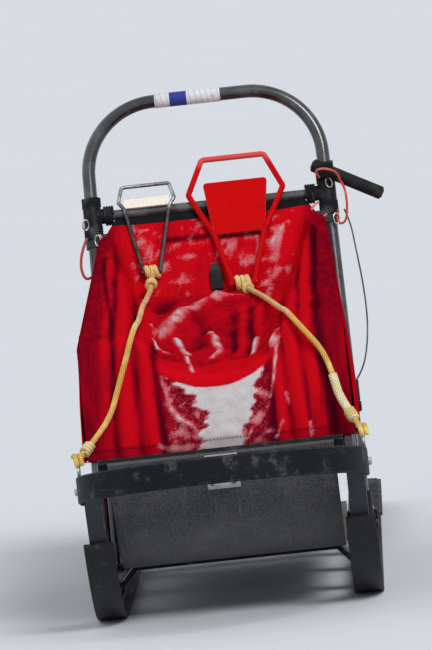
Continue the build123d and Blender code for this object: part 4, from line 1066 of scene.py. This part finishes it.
maps = made.loops.layers.uv.new("UVMap")
for index, v in enumerate(cloth):
    v.index = index
for face in made.faces:
    face.smooth = True
    for loop in face.loops:
        here = loop.vert.index
        loop[maps].uv = (height[here] if on_flap[here] else across[here], run[here])


def thickened(piece, thickness, offset=0):
    """Give a piece of one layer its thickness."""
    bpy.ops.object.select_all(action="DESELECT")
    piece.select_set(True)
    bpy.context.view_layer.objects.active = piece
    wall = piece.modifiers.new("thickness", "SOLIDIFY")
    wall.thickness = thickness
    wall.offset = offset
    bpy.ops.object.modifier_apply(modifier="thickness")


def stitches(away, half_width, along):
    """A row of stitches where a distance is nearly nothing."""
    return (abs(away) < half_width) * along.waves(STITCH).rise(-0.2, 0.1)


def coated_nylon(name):
    """Finish of the cover: wrinkles, a ripstop grid, painted shade deeper red in the folds, frost and
    painted glints where told.
    """
    finish = Finish(name, shine=NYLON_SHINE)
    point = finish.point()
    x, y, z = finish.parted(point)
    tone, frost, hem = [
        finish.node("ShaderNodeAttribute", {"attribute_name": told}, output=2)
        for told in ("tone", "frost", "hem")
    ]
    crinkle = finish.noise(finish.stretched(point, 1.8, 0.35, 0.35), 60, 4)
    stain = finish.noise(point, 9, 4)
    rime = finish.noise(point, 230, 3)
    # The painted shading, with stains and painted shade in the crinkles' hollows, sets the red.
    shade = (tone + (stain - 0.5) * 0.3 + (crinkle - 0.5) * 0.55).rise(0.0, 0.95)
    colour = finish.mix(shade, RED_SHADE_AND_SEAM, RED_LIT)
    # Frost and painted glints whiten the cloth where told.
    dusted_frost_and_glints = (frost + (rime - 0.5) * 0.7 * frost.rise(0.0, 0.3)).rise(0.22, 0.60)
    colour = finish.mix(dusted_frost_and_glints, colour, RED_FROSTED_AND_GLINT)
    packed_frost_and_glints = (frost + (rime - 0.5) * 0.3).rise(0.5, 0.95)
    crust_and_glints = finish.mix(finish.noise(point, 26, 4), shaded(FROST_AND_GLINT, 0.82), FROST_AND_GLINT)
    colour = finish.mix(packed_frost_and_glints, colour, crust_and_glints)
    stitch = stitches(hem - 0.018, 0.0012, y + x)
    colour = finish.mix((abs(hem - 0.009) < 0.0135) * 0.35, colour, RED_SHADE_AND_SEAM)
    colour = finish.mix(stitch * 0.7, colour, RED_SHADE_AND_SEAM)
    finish.feed("Base Color", finish.mix(hem < -0.978, colour, BINDING_BLACK))
    finish.feed("Roughness", packed_frost_and_glints * 0.45 + (stain - 0.5) * 0.12 + 0.42)
    grid = x.waves(STITCH) * y.waves(STITCH)
    relief = crinkle * 0.8 + grid * 0.03 + packed_frost_and_glints * rime * 0.8
    finish.bump(relief - stitch * 0.4, 0.0018)
    return finish


cloth_area = sum(face.calc_area() for face in made.faces)
cover = mesh_piece("bag_cover_cloth", made)
for name, values in (("tone", np.clip(tone, 0, 1.3)), ("frost", np.clip(frost, 0, 1)), ("hem", hem)):
    layer = cover.data.attributes.new(name, "FLOAT", "POINT")
    layer.data.foreach_set("value", values.astype(np.float32))
thickened(cover, CLOTH_THICKNESS)
fit(cover, coated_nylon("nylon_red"), "bag_red", "bag_cover")


# The bag's tub: the same red nylon, sewn as an open box that stands on the bed. Its walls bag out
# between the bed and the rim, and their lowest 10 cm are black, rubbed cloth.
TUB_HALF = 0.2025
TUB_FRONT = -0.7625
TUB_FLOOR = 0.1105
TUB_FLOOR_FRONT = -0.600
TUB_FLOOR_STEP = 0.066
TUB_FRONT_TOP = 0.440
TUB_SHOULDER = (-0.690, 0.5286)
TUB_REAR_TOP = (0.335, 0.6590)
TUB_REAR_LEAN = (0.1884, 0.108, 0.28634)   # place along at a height, and the lean of its rear wall
TUB_BULGE = 0.0042
TUB_BULGE_TALL = 0.4                       # height over which the walls bag out and in again
TUB_ROWS = 36
TUB_CELL = 0.014
TUB_BLACK_TOP = 0.215
WORN_BLACK = (0.05, 0.05, 0.054)
SEAM_GREY = (0.20, 0.19, 0.19)


def tub_rim(y):
    """Height of the tub's rim at a place along its side."""
    if y > TUB_REAR_TOP[0]:
        return TUB_REAR_TOP[1]
    low, high = (TUB_FRONT, TUB_FRONT_TOP), TUB_SHOULDER
    if y > TUB_SHOULDER[0]:
        low, high = TUB_SHOULDER, TUB_REAR_TOP
    return between((y - low[0]) / (high[0] - low[0]), low, high)[1]


def tub_rear(z):
    """Place along of the tub's rear wall at a height."""
    return TUB_REAR_LEAN[0] + (z - TUB_REAR_LEAN[1]) * TUB_REAR_LEAN[2]


def tub_point(share, level, out):
    """A point of a wall, by its share of the length and of the height, and how far out it is."""
    y = TUB_FRONT + (tub_rear(TUB_FLOOR) - TUB_FRONT) * share
    for attempt in range(5):
        low = TUB_FLOOR + max(0.0, (TUB_FLOOR_FRONT - y) / (TUB_FLOOR_FRONT - TUB_FRONT)) * TUB_FLOOR_STEP
        z = low + (tub_rim(y) - low) * level
        y = TUB_FRONT + (tub_rear(z) - TUB_FRONT) * share
    return (out, y, z)


def skin(made, lines):
    """Faces between lines of points that lie side by side."""
    grid = [[made.verts.new(point) for point in line] for line in lines]
    for line, after in zip(grid, grid[1:]):
        for corners in zip(line, line[1:], after[1:], after):
            made.faces.new(corners).smooth = True


made = bmesh.new()
wall_columns = round((tub_rear(TUB_FLOOR) - TUB_FRONT) / TUB_CELL)
cross_columns = round(2 * TUB_HALF / TUB_CELL)
shares = [column / wall_columns for column in range(wall_columns + 1)]
levels = [row / TUB_ROWS for row in range(TUB_ROWS + 1)]
outs = [TUB_HALF * (2 * column / cross_columns - 1) for column in range(cross_columns + 1)]
for side in (-1, 1):
    skin(made, [[tub_point(share, level, side * TUB_HALF) for level in levels] for share in shares])
for end in (0, 1):
    skin(made, [[tub_point(end, level, out) for level in levels] for out in outs])
skin(made, [[tub_point(share, 0, out) for out in outs] for share in shares])
bmesh.ops.remove_doubles(made, verts=made.verts, dist=0.001)
bmesh.ops.recalc_face_normals(made, faces=made.faces)
made.normal_update()
if sum(f.normal.x * f.calc_center_median().x for f in made.faces) < 0:
    bmesh.ops.reverse_faces(made, faces=made.faces)
    made.normal_update()
for v in made.verts:
    up = min(max((v.co.z - TUB_FLOOR) / TUB_BULGE_TALL, 0.0), 1.0)
    ripple = noise.noise(Vector((v.co.y * 11, v.co.x * 11, v.co.z * 5)))
    on_wall = abs(v.normal.z) < 0.5
    amount = sin(pi * up) * TUB_BULGE * (0.45 + 0.55 * ripple) if on_wall else 0
    on_rear = v.co.y > 0 and v.normal.y > 0.5
    v.co += v.normal * min(amount, TUB_BULGE * (0.3 if on_rear else 1))
tub_area = sum(face.calc_area() for face in made.faces)
tub = mesh_piece("bag_tub_cloth", made)
thickened(tub, CLOTH_THICKNESS)

tub_finish = Finish("nylon_tub", shine=NYLON_SHINE)
point = tub_finish.point()
x, y, z = tub_finish.parted(point)
stain = tub_finish.noise(point, 9, 4)
crinkle = tub_finish.noise(tub_finish.stretched(point, 1.0, 1.4, 0.6), 60, 5, 0.6)
# Stains and painted shade in the crinkles' hollows set the walls' red.
stain_and_fold_shade = (stain * 0.6 + crinkle * 0.5).rise(0.35, 0.75)
wall_red = tub_finish.mix(stain_and_fold_shade, RED_SHADE_AND_SEAM, shaded(RED_LIT, 0.7))
worn_black = tub_finish.mix(crinkle.rise(0.5, 0.8), BINDING_BLACK, WORN_BLACK)
edge_height = (stain - 0.5) * 0.004 + TUB_BLACK_TOP
colour = tub_finish.mix(z < edge_height, wall_red, worn_black)
seam = stitches(z - edge_height, 0.0016, y + x)
tub_finish.feed("Base Color", tub_finish.mix(seam * 0.8, colour, SEAM_GREY))
tub_finish.feed("Roughness", stain * 0.2 + 0.4)
tub_finish.bump(crinkle - seam * 0.4, 0.0018)
fit(tub, tub_finish, "bag_red", "bag_tub")


# The buckle on the cover's dip: a black side-release buckle of moulded nylon, sewn on by a loop of
# webbing at each end.
BUCKLE_MIDDLE = Vector((0, 0.266, 0.5888))
BUCKLE_SLOPE = radians(57)
BUCKLE_BLACK = (0.010, 0.010, 0.012)
BUCKLE_WORN = (0.10, 0.10, 0.105)
TAB_SIZE = (0.020, 0.026, 0.0024)
TAB_PLACES = (-0.030, 0.030)
TAB_LIFT = 0.0022
WEBBING_BLACK = (0.013, 0.013, 0.015)
WEBBING_WORN = (0.09, 0.09, 0.095)


def webbing(name, colour, worn, pitch=0.0022):
    """Finish of woven webbing: ribs across and along, fuzz on the edges."""
    finish = Finish(name, roughness=0.85, sheen_weight=0.2, sheen_roughness=0.5)
    point = finish.point()
    x, y, z = finish.parted(point)
    ribs = x.waves(pitch) * (y + z).waves(pitch)
    fuzz = finish.noise(point, 500, 3)
    cloud = finish.noise(point, 30, 4)
    finish.feed("Base Color", finish.mix(cloud.rise(0.45, 0.75) * 0.4 + fuzz * 0.15, colour, worn))
    finish.rounded(0.0006, ribs * 0.4 + fuzz * 0.3, 0.0005)
    return finish


webbing_finish = webbing("webbing_black", WEBBING_BLACK, WEBBING_WORN)
satin_casting("buckle_black", BUCKLE_BLACK, BUCKLE_WORN).dress("bag_buckle")
for index, along in enumerate(TAB_PLACES):
    bpy.ops.object.select_all(action="DESELECT")
    bpy.ops.mesh.primitive_cube_add(size=1, location=(0, along, TAB_LIFT), scale=TAB_SIZE)
    tab = bpy.context.object
    tab.name = "buckle_tab_%d" % (index + 1)
    bpy.ops.object.transform_apply(location=True, rotation=True, scale=True)
    soften_edges(0.0009, 2, cuts=2)
    tab.data.transform(Matrix.Translation(BUCKLE_MIDDLE) @ Matrix.Rotation(BUCKLE_SLOPE, 4, "X"))
    bpy.ops.object.shade_smooth_by_angle(angle=SMOOTH_BELOW)
    fit(tab, webbing_finish, "webbing_black")


# The steel snow hook: a bent rod of galvanised steel with a cross plate painted cream and two
# claws behind the crossbar. The paint is chipped along the plate's edges.
HOOK_ACROSS = Vector((1, 0, 0))
HOOK_UP = Vector((0, 0.6428, 0.7660))
HOOK_OUT = Vector((0, -0.7660, 0.6428))
STEEL_HOOK_PLACE = Vector((-0.132, 0.3731, 0.7530))
STEEL_PLATE = (0.0494, 0.0004, 0.0256)   # half width, low and high edge up the hook
PLATE_HALF = 0.0026
GALVANISED = (0.46, 0.445, 0.43)
GALVANISED_DULL = (0.13, 0.125, 0.12)
ARMS_SHADE = (0.035, 0.036, 0.040)
CREAM = (0.86, 0.78, 0.67)


def hook_parts(finish, point, origin):
    """How far a point lies across, up and out from a hook's middle on the crossbar."""
    away = finish.node("ShaderNodeVectorMath", {"operation": "SUBTRACT"}, point, tuple(origin))
    settings = {"operation": "DOT_PRODUCT"}
    ways = (HOOK_ACROSS, HOOK_UP, HOOK_OUT)
    return [finish.node("ShaderNodeVectorMath", settings, away, tuple(way), output=1) for way in ways]


def chips(finish, point, least):
    """1 where paint is chipped off, which is most of all on edges."""
    knocks = finish.noise(point, 130, 5, 0.7)
    return (knocks + edge_share(finish, 0.0016) * 0.16).rise(least, least + 0.03)


hook = Finish("hook_steel_finish")
point = hook.point()
out, up, away = hook_parts(hook, point, STEEL_HOOK_PLACE)
on_plate = (up > STEEL_PLATE[1]) * (up < STEEL_PLATE[2]) * (abs(away) < PLATE_HALF)
on_plate = on_plate * (abs(out) < STEEL_PLATE[0])
brushing = hook.noise(point, 320, 3)
dull = hook.noise(point, 34, 5, 0.65)
bare = hook.mix(dull.rise(0.38, 0.62), GALVANISED, GALVANISED_DULL)
# Painted shade, near black, on the claws below the crossbar.
bare = hook.mix(up.rise(-0.004, -0.016) * 0.85, bare, ARMS_SHADE)
chipped = chips(hook, point, 0.66)
cream = hook.mix(chipped, hook.mix(dull, CREAM, shaded(CREAM, 0.86)), bare)
hook.feed("Base Color", hook.mix(on_plate, bare, cream))
hook.feed("Metallic", on_plate * (chipped - 1.0) + 1.0)
hook.feed("Roughness", brushing * 0.15 + dull * 0.25 + 0.2 + on_plate * 0.15)
hook.rounded(0.001, brushing - chipped * on_plate, 0.0003)
hook.dress("hook_steel")


# The red snow hook: a larger one of the same make, powder-coated red all over. Its coat is worn to the
# steel on its edges; the handle gets a painted highlight in paler red, and the slit under the plate a
# painted shade.
RED_HOOK_PLACE = Vector((0.057, 0.3716, 0.7542))
HOOK_RED = (0.50, 0.001, 0.002)
HOOK_RED_DARK = (0.22, 0.001, 0.002)
HOOK_RED_SLIT_SHADE = (0.03, 0.002, 0.003)
HOOK_RED_HIGHLIGHT = (0.74, 0.10, 0.085)
HOOK_BARE = (0.28, 0.27, 0.26)
SLIT = (0.046, -0.104, -0.0925)          # half width, low and high edge up the hook

hook = Finish("hook_red_finish", shine=0.05)
point = hook.point()
out, up, away = hook_parts(hook, point, RED_HOOK_PLACE)
cloud = hook.noise(point, 30, 5, 0.6)
peel = hook.noise(point, 380, 3)
slit_shade = (up < SLIT[2]) * (up > SLIT[1]) * (abs(out) < SLIT[0])
paint = hook.mix(cloud.rise(0.5, 0.85) * 0.4, HOOK_RED, HOOK_RED_DARK)
# Painted shade in the slit under the plate.
paint = hook.mix(slit_shade * 0.75, paint, HOOK_RED_SLIT_SHADE)
# Painted highlight on the handle above the plate.
paint = hook.mix(up.rise(0.074, 0.1) * 0.7, paint, HOOK_RED_HIGHLIGHT)
chipped = chips(hook, point, 0.69)
hook.feed("Base Color", hook.mix(chipped, paint, HOOK_BARE))
hook.feed("Metallic", chipped)
hook.feed("Roughness", cloud * 0.2 + 0.3)
hook.rounded(0.001, peel * 0.3 - chipped, 0.0003)
hook.dress("hook_red")


# The knots: each line is wound twice round its hook's end and once round itself, and whipped
# again at its eye on the brushbow. The right line's end is a pale spliced sleeve.
KNOT_RADIUS = 0.0058
KNOT_TURNS = 1.6
# for each line: its hook's name, and the middle, rod radius and width of the hook's end
HOOK_ENDS = {
    "left": ("steel", Vector((-0.132, 0.2638, 0.6227)), 0.004, 0.034),
    "right": ("red", Vector((0.057, 0.2270, 0.5819)), 0.006, 0.044),
}
SLEEVE_RADIUS = 0.0085
SLEEVE_FROM = 0.455          # the heights between which it covers the line
SLEEVE_TO = 0.362


def wound(name, middle, axis, radius, turns, pitch, thickness, finish, start=0.0, slot="rope_yellow"):
    """Turns of rope round an axis, read along a smooth line through twelve steps a turn."""
    axis = Vector(axis).normalized()
    side = axis.orthogonal().normalized()
    other = axis.cross(side)
    points = []
    for step in range(int(turns * 12) + 1):
        angle = start + 2 * pi * step / 12
        along = axis * pitch * (step / 12 - turns / 2)
        points.append(middle + along + radius * 1.03 * (cos(angle) * side + sin(angle) * other))
    winding = rope_mesh(name, smooth_route(points), thickness, sides=12)
    fit(winding, finish, slot)
    return winding


on_rope = {"left": [], "right": []}
for side, (name, middle, rod, width) in HOOK_ENDS.items():
    for index, out in enumerate((-1, 1)):
        place = middle + Vector((out * width * 0.16, 0, 0))
        on_rope[side].append(wound(
            "knot_%s_%d" % (name, index + 1), place, (1, 0, 0.05 * out), rod + KNOT_RADIUS * 0.95,
            KNOT_TURNS, 0.0105, KNOT_RADIUS, knot_rope, start=index * 2.0,
        ))
for side, route in line_routes.items():
    near, ahead, before, tail, last = [route[index] for index in (3, 7, -5, -4, -1)]
    neck = (near + ahead) / 2
    on_rope[side] += [
        wound("knot_neck_" + side, neck, ahead - near, 0.0088, 2.2, 0.0095, 0.0042, knot_rope),
        wound("eye_knot_" + side, last, (1, 0.1, 0), 0.0105, 1.5, 0.0100, 0.0050, yellow_rope),
        wound("eye_whipping_" + side, tail, before - last, 0.0085, 3.2, 0.0075, 0.0034, knot_rope),
    ]
sleeve_route = [place for place in line_routes["right"] if SLEEVE_TO < place.z < SLEEVE_FROM]
sleeve = rope_mesh("splice_sleeve", sleeve_route, SLEEVE_RADIUS)
pale_rope = braided("splice_pale", (0.42, 0.34, 0.14), (0.78, 0.70, 0.40), (0.86, 0.84, 0.74), 0.016)
fit(sleeve, pale_rope, "rope_yellow")
on_rope["right"].append(sleeve)


# The lashings: black cord wound over tape where the crossbars and the rails meet the legs. Each leg
# has three, and one more is wound round the upper crossbar beside it.
LASHING_BLACK = (0.016, 0.016, 0.018)
LASHING_PALE = (0.11, 0.11, 0.12)
LEG_FOOT = Vector((0.255, 0.190, 0.062))
LEG_RISE = 0.908             # from the foot to the hoop's top
LEG_IN = 0.009               # how far the leg leans in over that rise
# name, height and number of turns
LEG_LASHINGS = [("above", 0.772, 4.4), ("below", 0.709, 6.2), ("lower", 0.296, 4.2)]
LASHING_RADIUS = 0.0180
BAR_LASHING_OUT = 0.213
BAR_LASHING_HEIGHT = 0.743


def leg_place(z, side=1):
    """Middle of a leg at a height."""
    rise = z - LEG_FOOT.z
    return Vector((side * (LEG_FOOT.x - LEG_IN * (rise / LEG_RISE)), LEG_FOOT.y + LEG_LEAN * rise, z))


def plain_cord(name, colour, fleck, fuzz_sheen=0.25, shine=0.5):
    return braided(name, shaded(colour, 0.4), colour, fleck, 0.010, 0.0005, fuzz_sheen, shine)


black_cord = plain_cord("cord_black", LASHING_BLACK, LASHING_PALE, 0.0, 0.15)
leg_ups = {}
for side, name in ((-1, "left"), (1, "right")):
    leg_ups[side] = (leg_place(0.9, side) - leg_place(0.1, side)).normalized()
    for place, height, turns in LEG_LASHINGS:
        wound(
            "lashing_%s_%s" % (place, name), leg_place(height, side), leg_ups[side], LASHING_RADIUS,
            turns, 0.0050, 0.0026, black_cord, slot="webbing_black",
        )
    crossing = Vector((side * BAR_LASHING_OUT, leg_place(BAR_LASHING_HEIGHT).y, BAR_LASHING_HEIGHT))
    wound(
        "lashing_bar_" + name, crossing, (1, 0, 0), 0.0185,
        3.4, 0.0055, 0.0027, black_cord, slot="webbing_black",
    )


# The tie loops: each is a loop of 5 or 6 mm cord through the joint's lashing, orange on the right
# and pink on the left, a spare tie for gear. The thin grey cord on the right leg is the brake's
# return line, tied off beside the bag.
ORANGE = (0.70, 0.055, 0.025)
ORANGE_FLECK = (0.78, 0.30, 0.22)
PINK = (0.52, 0.045, 0.075)
PINK_FLECK = (0.70, 0.38, 0.42)
LINE_GREY = (0.075, 0.078, 0.085)
LINE_FLECK = (0.20, 0.20, 0.22)
orange_cord = plain_cord("cord_orange", ORANGE, ORANGE_FLECK)
pink_cord = plain_cord("cord_pink", PINK, PINK_FLECK)
grey_cord = plain_cord("cord_grey", LINE_GREY, LINE_FLECK)
# name, finish, the cord's radius and the route's points
TIE_LOOPS = [
    ("tie_right_upper", orange_cord, 0.0026, [
        (0.236, 0.352, 0.777), (0.226, 0.345, 0.790), (0.240, 0.336, 0.797), (0.262, 0.336, 0.792),
        (0.276, 0.345, 0.780), (0.277, 0.352, 0.768),
    ]),
    ("tie_right_lower", orange_cord, 0.0026, [
        (0.272, 0.362, 0.775), (0.285, 0.350, 0.757), (0.288, 0.343, 0.728), (0.286, 0.342, 0.700),
        (0.281, 0.343, 0.680), (0.268, 0.347, 0.675), (0.262, 0.352, 0.688), (0.268, 0.357, 0.705),
    ]),
    ("tie_right_inner", orange_cord, 0.0026, [
        (0.228, 0.361, 0.725), (0.218, 0.352, 0.722), (0.210, 0.346, 0.708), (0.214, 0.344, 0.692),
        (0.230, 0.344, 0.690), (0.243, 0.346, 0.700),
    ]),
    ("tie_left", pink_cord, 0.0030, [
        (-0.236, 0.352, 0.706), (-0.228, 0.336, 0.690), (-0.240, 0.322, 0.655), (-0.258, 0.318, 0.622),
        (-0.276, 0.322, 0.618), (-0.283, 0.332, 0.645), (-0.276, 0.346, 0.680), (-0.264, 0.356, 0.702),
    ]),
    ("brake_line", grey_cord, 0.0018, [
        (0.280, 0.362, 0.705), (0.290, 0.352, 0.680), (0.296, 0.334, 0.620), (0.303, 0.316, 0.550),
        (0.305, 0.298, 0.480), (0.298, 0.286, 0.420), (0.284, 0.279, 0.372), (0.268, 0.277, 0.352),
    ]),
]

for name, finish, thickness, points in TIE_LOOPS:
    points = [Vector(point) for point in points]
    route = smooth_route(points)
    loop = rope_mesh(name, route, thickness, sides=12)
    fit(loop, finish, "webbing_black")
    2 * thickness


# The tie rings: two oval steel rings on each leg, bent from wire and welded, and hung in the
# lashings to snap tie cords to.
RING_RADIUS = 0.0088
RING_WIRE = 0.0019
RING_STRETCH = (0.8, 1, 1.25)
# place, and turns about X and Z in degrees
TIE_RINGS = [
    ((-0.263, 0.3555, 0.7300), 12, 20),
    ((-0.241, 0.3500, 0.6960), -10, -35),
    ((0.254, 0.3640, 0.7640), 14, -25),
    ((0.262, 0.3470, 0.6880), -8, 30),
]

bpy.ops.object.select_all(action="DESELECT")
bpy.ops.mesh.primitive_torus_add(
    major_segments=40,
    minor_segments=12,
    major_radius=RING_RADIUS,
    minor_radius=RING_WIRE,
    rotation=(pi / 2, 0, 0),
)
ring_model = bpy.context.object
bpy.ops.object.transform_apply(location=True, rotation=True, scale=True)
bpy.ops.object.mode_set(mode="EDIT")
bpy.ops.mesh.select_all(action="SELECT")
bpy.ops.transform.resize(value=RING_STRETCH)
bpy.ops.object.mode_set(mode="OBJECT")
bpy.ops.object.shade_smooth()
for index, (place, lean, turn) in enumerate(TIE_RINGS):
    mesh = ring_model.data.copy()
    pose = Matrix.Rotation(radians(turn), 4, "Z") @ Matrix.Rotation(radians(lean), 4, "X")
    mesh.transform(Matrix.Translation(place) @ pose)
    fit(linked("tie_ring_%d" % (index + 1), mesh), zinc, "steel")
bpy.data.objects.remove(ring_model)


# The rail straps: a band of black webbing sewn tight round each leg and the end of the rail
# beside it.
BAND_HEIGHT = 0.690
BAND_WIDTH = 0.026
BAND_PLY = 0.0022
BAND_RADIUS = 0.0164         # of its round ends, inside
BAND_RAIL = (0.2243, 0.004)  # how far out the rail is, and how far behind the leg

for side, name in ((-1, "left"), (1, "right")):
    leg = leg_place(BAND_HEIGHT, side)
    rail = Vector((side * BAND_RAIL[0], leg.y + BAND_RAIL[1], BAND_HEIGHT))
    reach = abs(leg.x - rail.x) / 2
    bpy.ops.object.select_all(action="DESELECT")
    bpy.ops.mesh.primitive_cylinder_add(
        vertices=48, radius=BAND_RADIUS, depth=BAND_WIDTH, end_fill_type="NOTHING"
    )
    strap = bpy.context.object
    strap.name = "rail_strap_" + name
    for vertex in strap.data.vertices:
        vertex.co.x += reach if vertex.co.x > 0 else -reach
    thickened(strap, BAND_PLY, offset=1)
    across = Vector((1, 0, 0))
    ahead = leg_ups[side].cross(across).normalized()
    turned = Matrix((across, ahead, leg_ups[side])).transposed().to_4x4()
    strap.data.transform(Matrix.Translation((leg + rail) / 2) @ turned)
    bpy.ops.object.shade_smooth_by_angle(angle=SMOOTH_BELOW)
    fit(strap, webbing_finish, "webbing_black")


# The side grip: a tube of black foam rubber with shallow rings, clamped across the right leg and
# dusted grey in places.
GRIP_MIDDLE = Vector((0.2478, 0.3688, 0.791))
GRIP_SLOPE = radians(28.5)
GRIP_RINGS = 0.008
GRIP_BLACK = (0.012, 0.012, 0.013)
GRIP_DUSTED = (0.09, 0.09, 0.095)

grip = Finish("grip_rubber", shine=0.12)
point = grip.point()
x, y, z = grip.parted(point)
along = (x - GRIP_MIDDLE.x) * cos(GRIP_SLOPE) - (z - GRIP_MIDDLE.z) * sin(GRIP_SLOPE)
pores = grip.noise(point, 800, 3)
cloud = grip.noise(point, 50, 5)
grip.feed("Base Color", grip.mix(cloud.rise(0.45, 0.78) * 0.25, GRIP_BLACK, GRIP_DUSTED))
grip.feed("Roughness", pores * 0.2 + 0.5)
grip.bump(pores * 0.3 - along.waves(GRIP_RINGS).rise(0.55, 0.95), 0.0008)
grip.dress("side_grip")


# The brake: a frame of black tube on a pin between two ears, with a ribbed step and two claws. The
# coat is worn off the step's ribs and edges down to bare metal.
BRAKE_BLACK = (0.014, 0.014, 0.016)
BRAKE_RIME = (0.16, 0.16, 0.165)
STEP_RIBS = 0.010

brake_tube = coated_tube("brake_black", BRAKE_BLACK, BRAKE_RIME, (1, 0.3, 1))
brake_tube.dress("brake_frame", "brake_ear_left", "brake_ear_right")
across_grain.dress("rear_crosspiece")

step = Finish("brake_step_finish", metallic=0.4)
point = step.point()
x, y, z = step.parted(point)
ribs = x.waves(STEP_RIBS).rise(0.2, 0.8)
scuffs = step.noise(point, 90, 5, 0.7)
edges = edge_share(step, 0.002) * scuffs.rise(0.4, 0.6)
worn = (scuffs.rise(0.5, 0.66) * ribs * 0.6).most(edges * 0.8)
step.feed("Base Color", step.mix(worn, BRAKE_BLACK, BARE_METAL))
step.feed("Roughness", scuffs * 0.3 + 0.25)
step.rounded(0.001, ribs + scuffs * 0.3, 0.0007)
step.dress("brake_step")


# The drag mat: lugged rubber belt on a steel rod, greyed by grit. Two straps of black webbing hold
# it. Each is riveted to the crosspiece, goes round the rod and is riveted back on itself.
MAT_BLACK = (0.013, 0.013, 0.014)
MAT_GRIT = (0.17, 0.17, 0.175)
STRAP_WORN = (0.10, 0.10, 0.105)
STRAP_OUT = 0.070            # from the sled's middle to the strap's
STRAP_WIDTH = 0.030
STRAP_PLY = 0.0022
# a strap's ends, each a place along and a height: its tab down the crosspiece, its long run to
# the rod, and its lap back on itself
STRAP_TAB = ((0.2764, 0.0775), (0.2764, 0.0640))
STRAP_RUN = ((0.2790, 0.0610), (0.6000, 0.0292))
STRAP_LAP = ((0.6000, 0.0266), (0.5320, 0.0334))
MAT_ROD = (0.640, 0.024)
LOOP_RADIUS = 0.0067
RIVETS_OUT = 0.008           # to each side of the strap's middle

moulded_rubber("mat_rubber", MAT_BLACK, MAT_GRIT, 0.8).dress("drag_mat")
strap_path = list(STRAP_TAB)
strap_path += [between(step / 12, *STRAP_RUN) for step in range(13)]
for step in range(15):
    angle = radians(105 - 15 * step)
    strap_path.append((MAT_ROD[0] + LOOP_RADIUS * cos(angle), MAT_ROD[1] + LOOP_RADIUS * sin(angle)))
strap_path += [between(step / 4, *STRAP_LAP) for step in range(5)]
strap_finish = webbing("strap_black", WEBBING_BLACK, STRAP_WORN, 0.0026)
for side, name in ((-1, "left"), (1, "right")):
    outs = [side * STRAP_OUT + STRAP_WIDTH * column / 8 for column in range(-4, 5)]
    made = bmesh.new()
    skin(made, [[(out, y, z) for out in outs] for y, z in strap_path])
    strap = mesh_piece("mat_strap_" + name, made)
    thickened(strap, STRAP_PLY)
    fit(strap, strap_finish, "webbing_black", "mat_straps")
    for across in (-RIVETS_OUT, RIVETS_OUT):
        out = side * STRAP_OUT + across
        place_bolt((out, STRAP_TAB[0][0] + STRAP_PLY / 2, 0.071), (0, 1, 0), 0.5)
        place_bolt((out, 0.560, 0.0343), (0, 0.098, 0.995), 0.45)
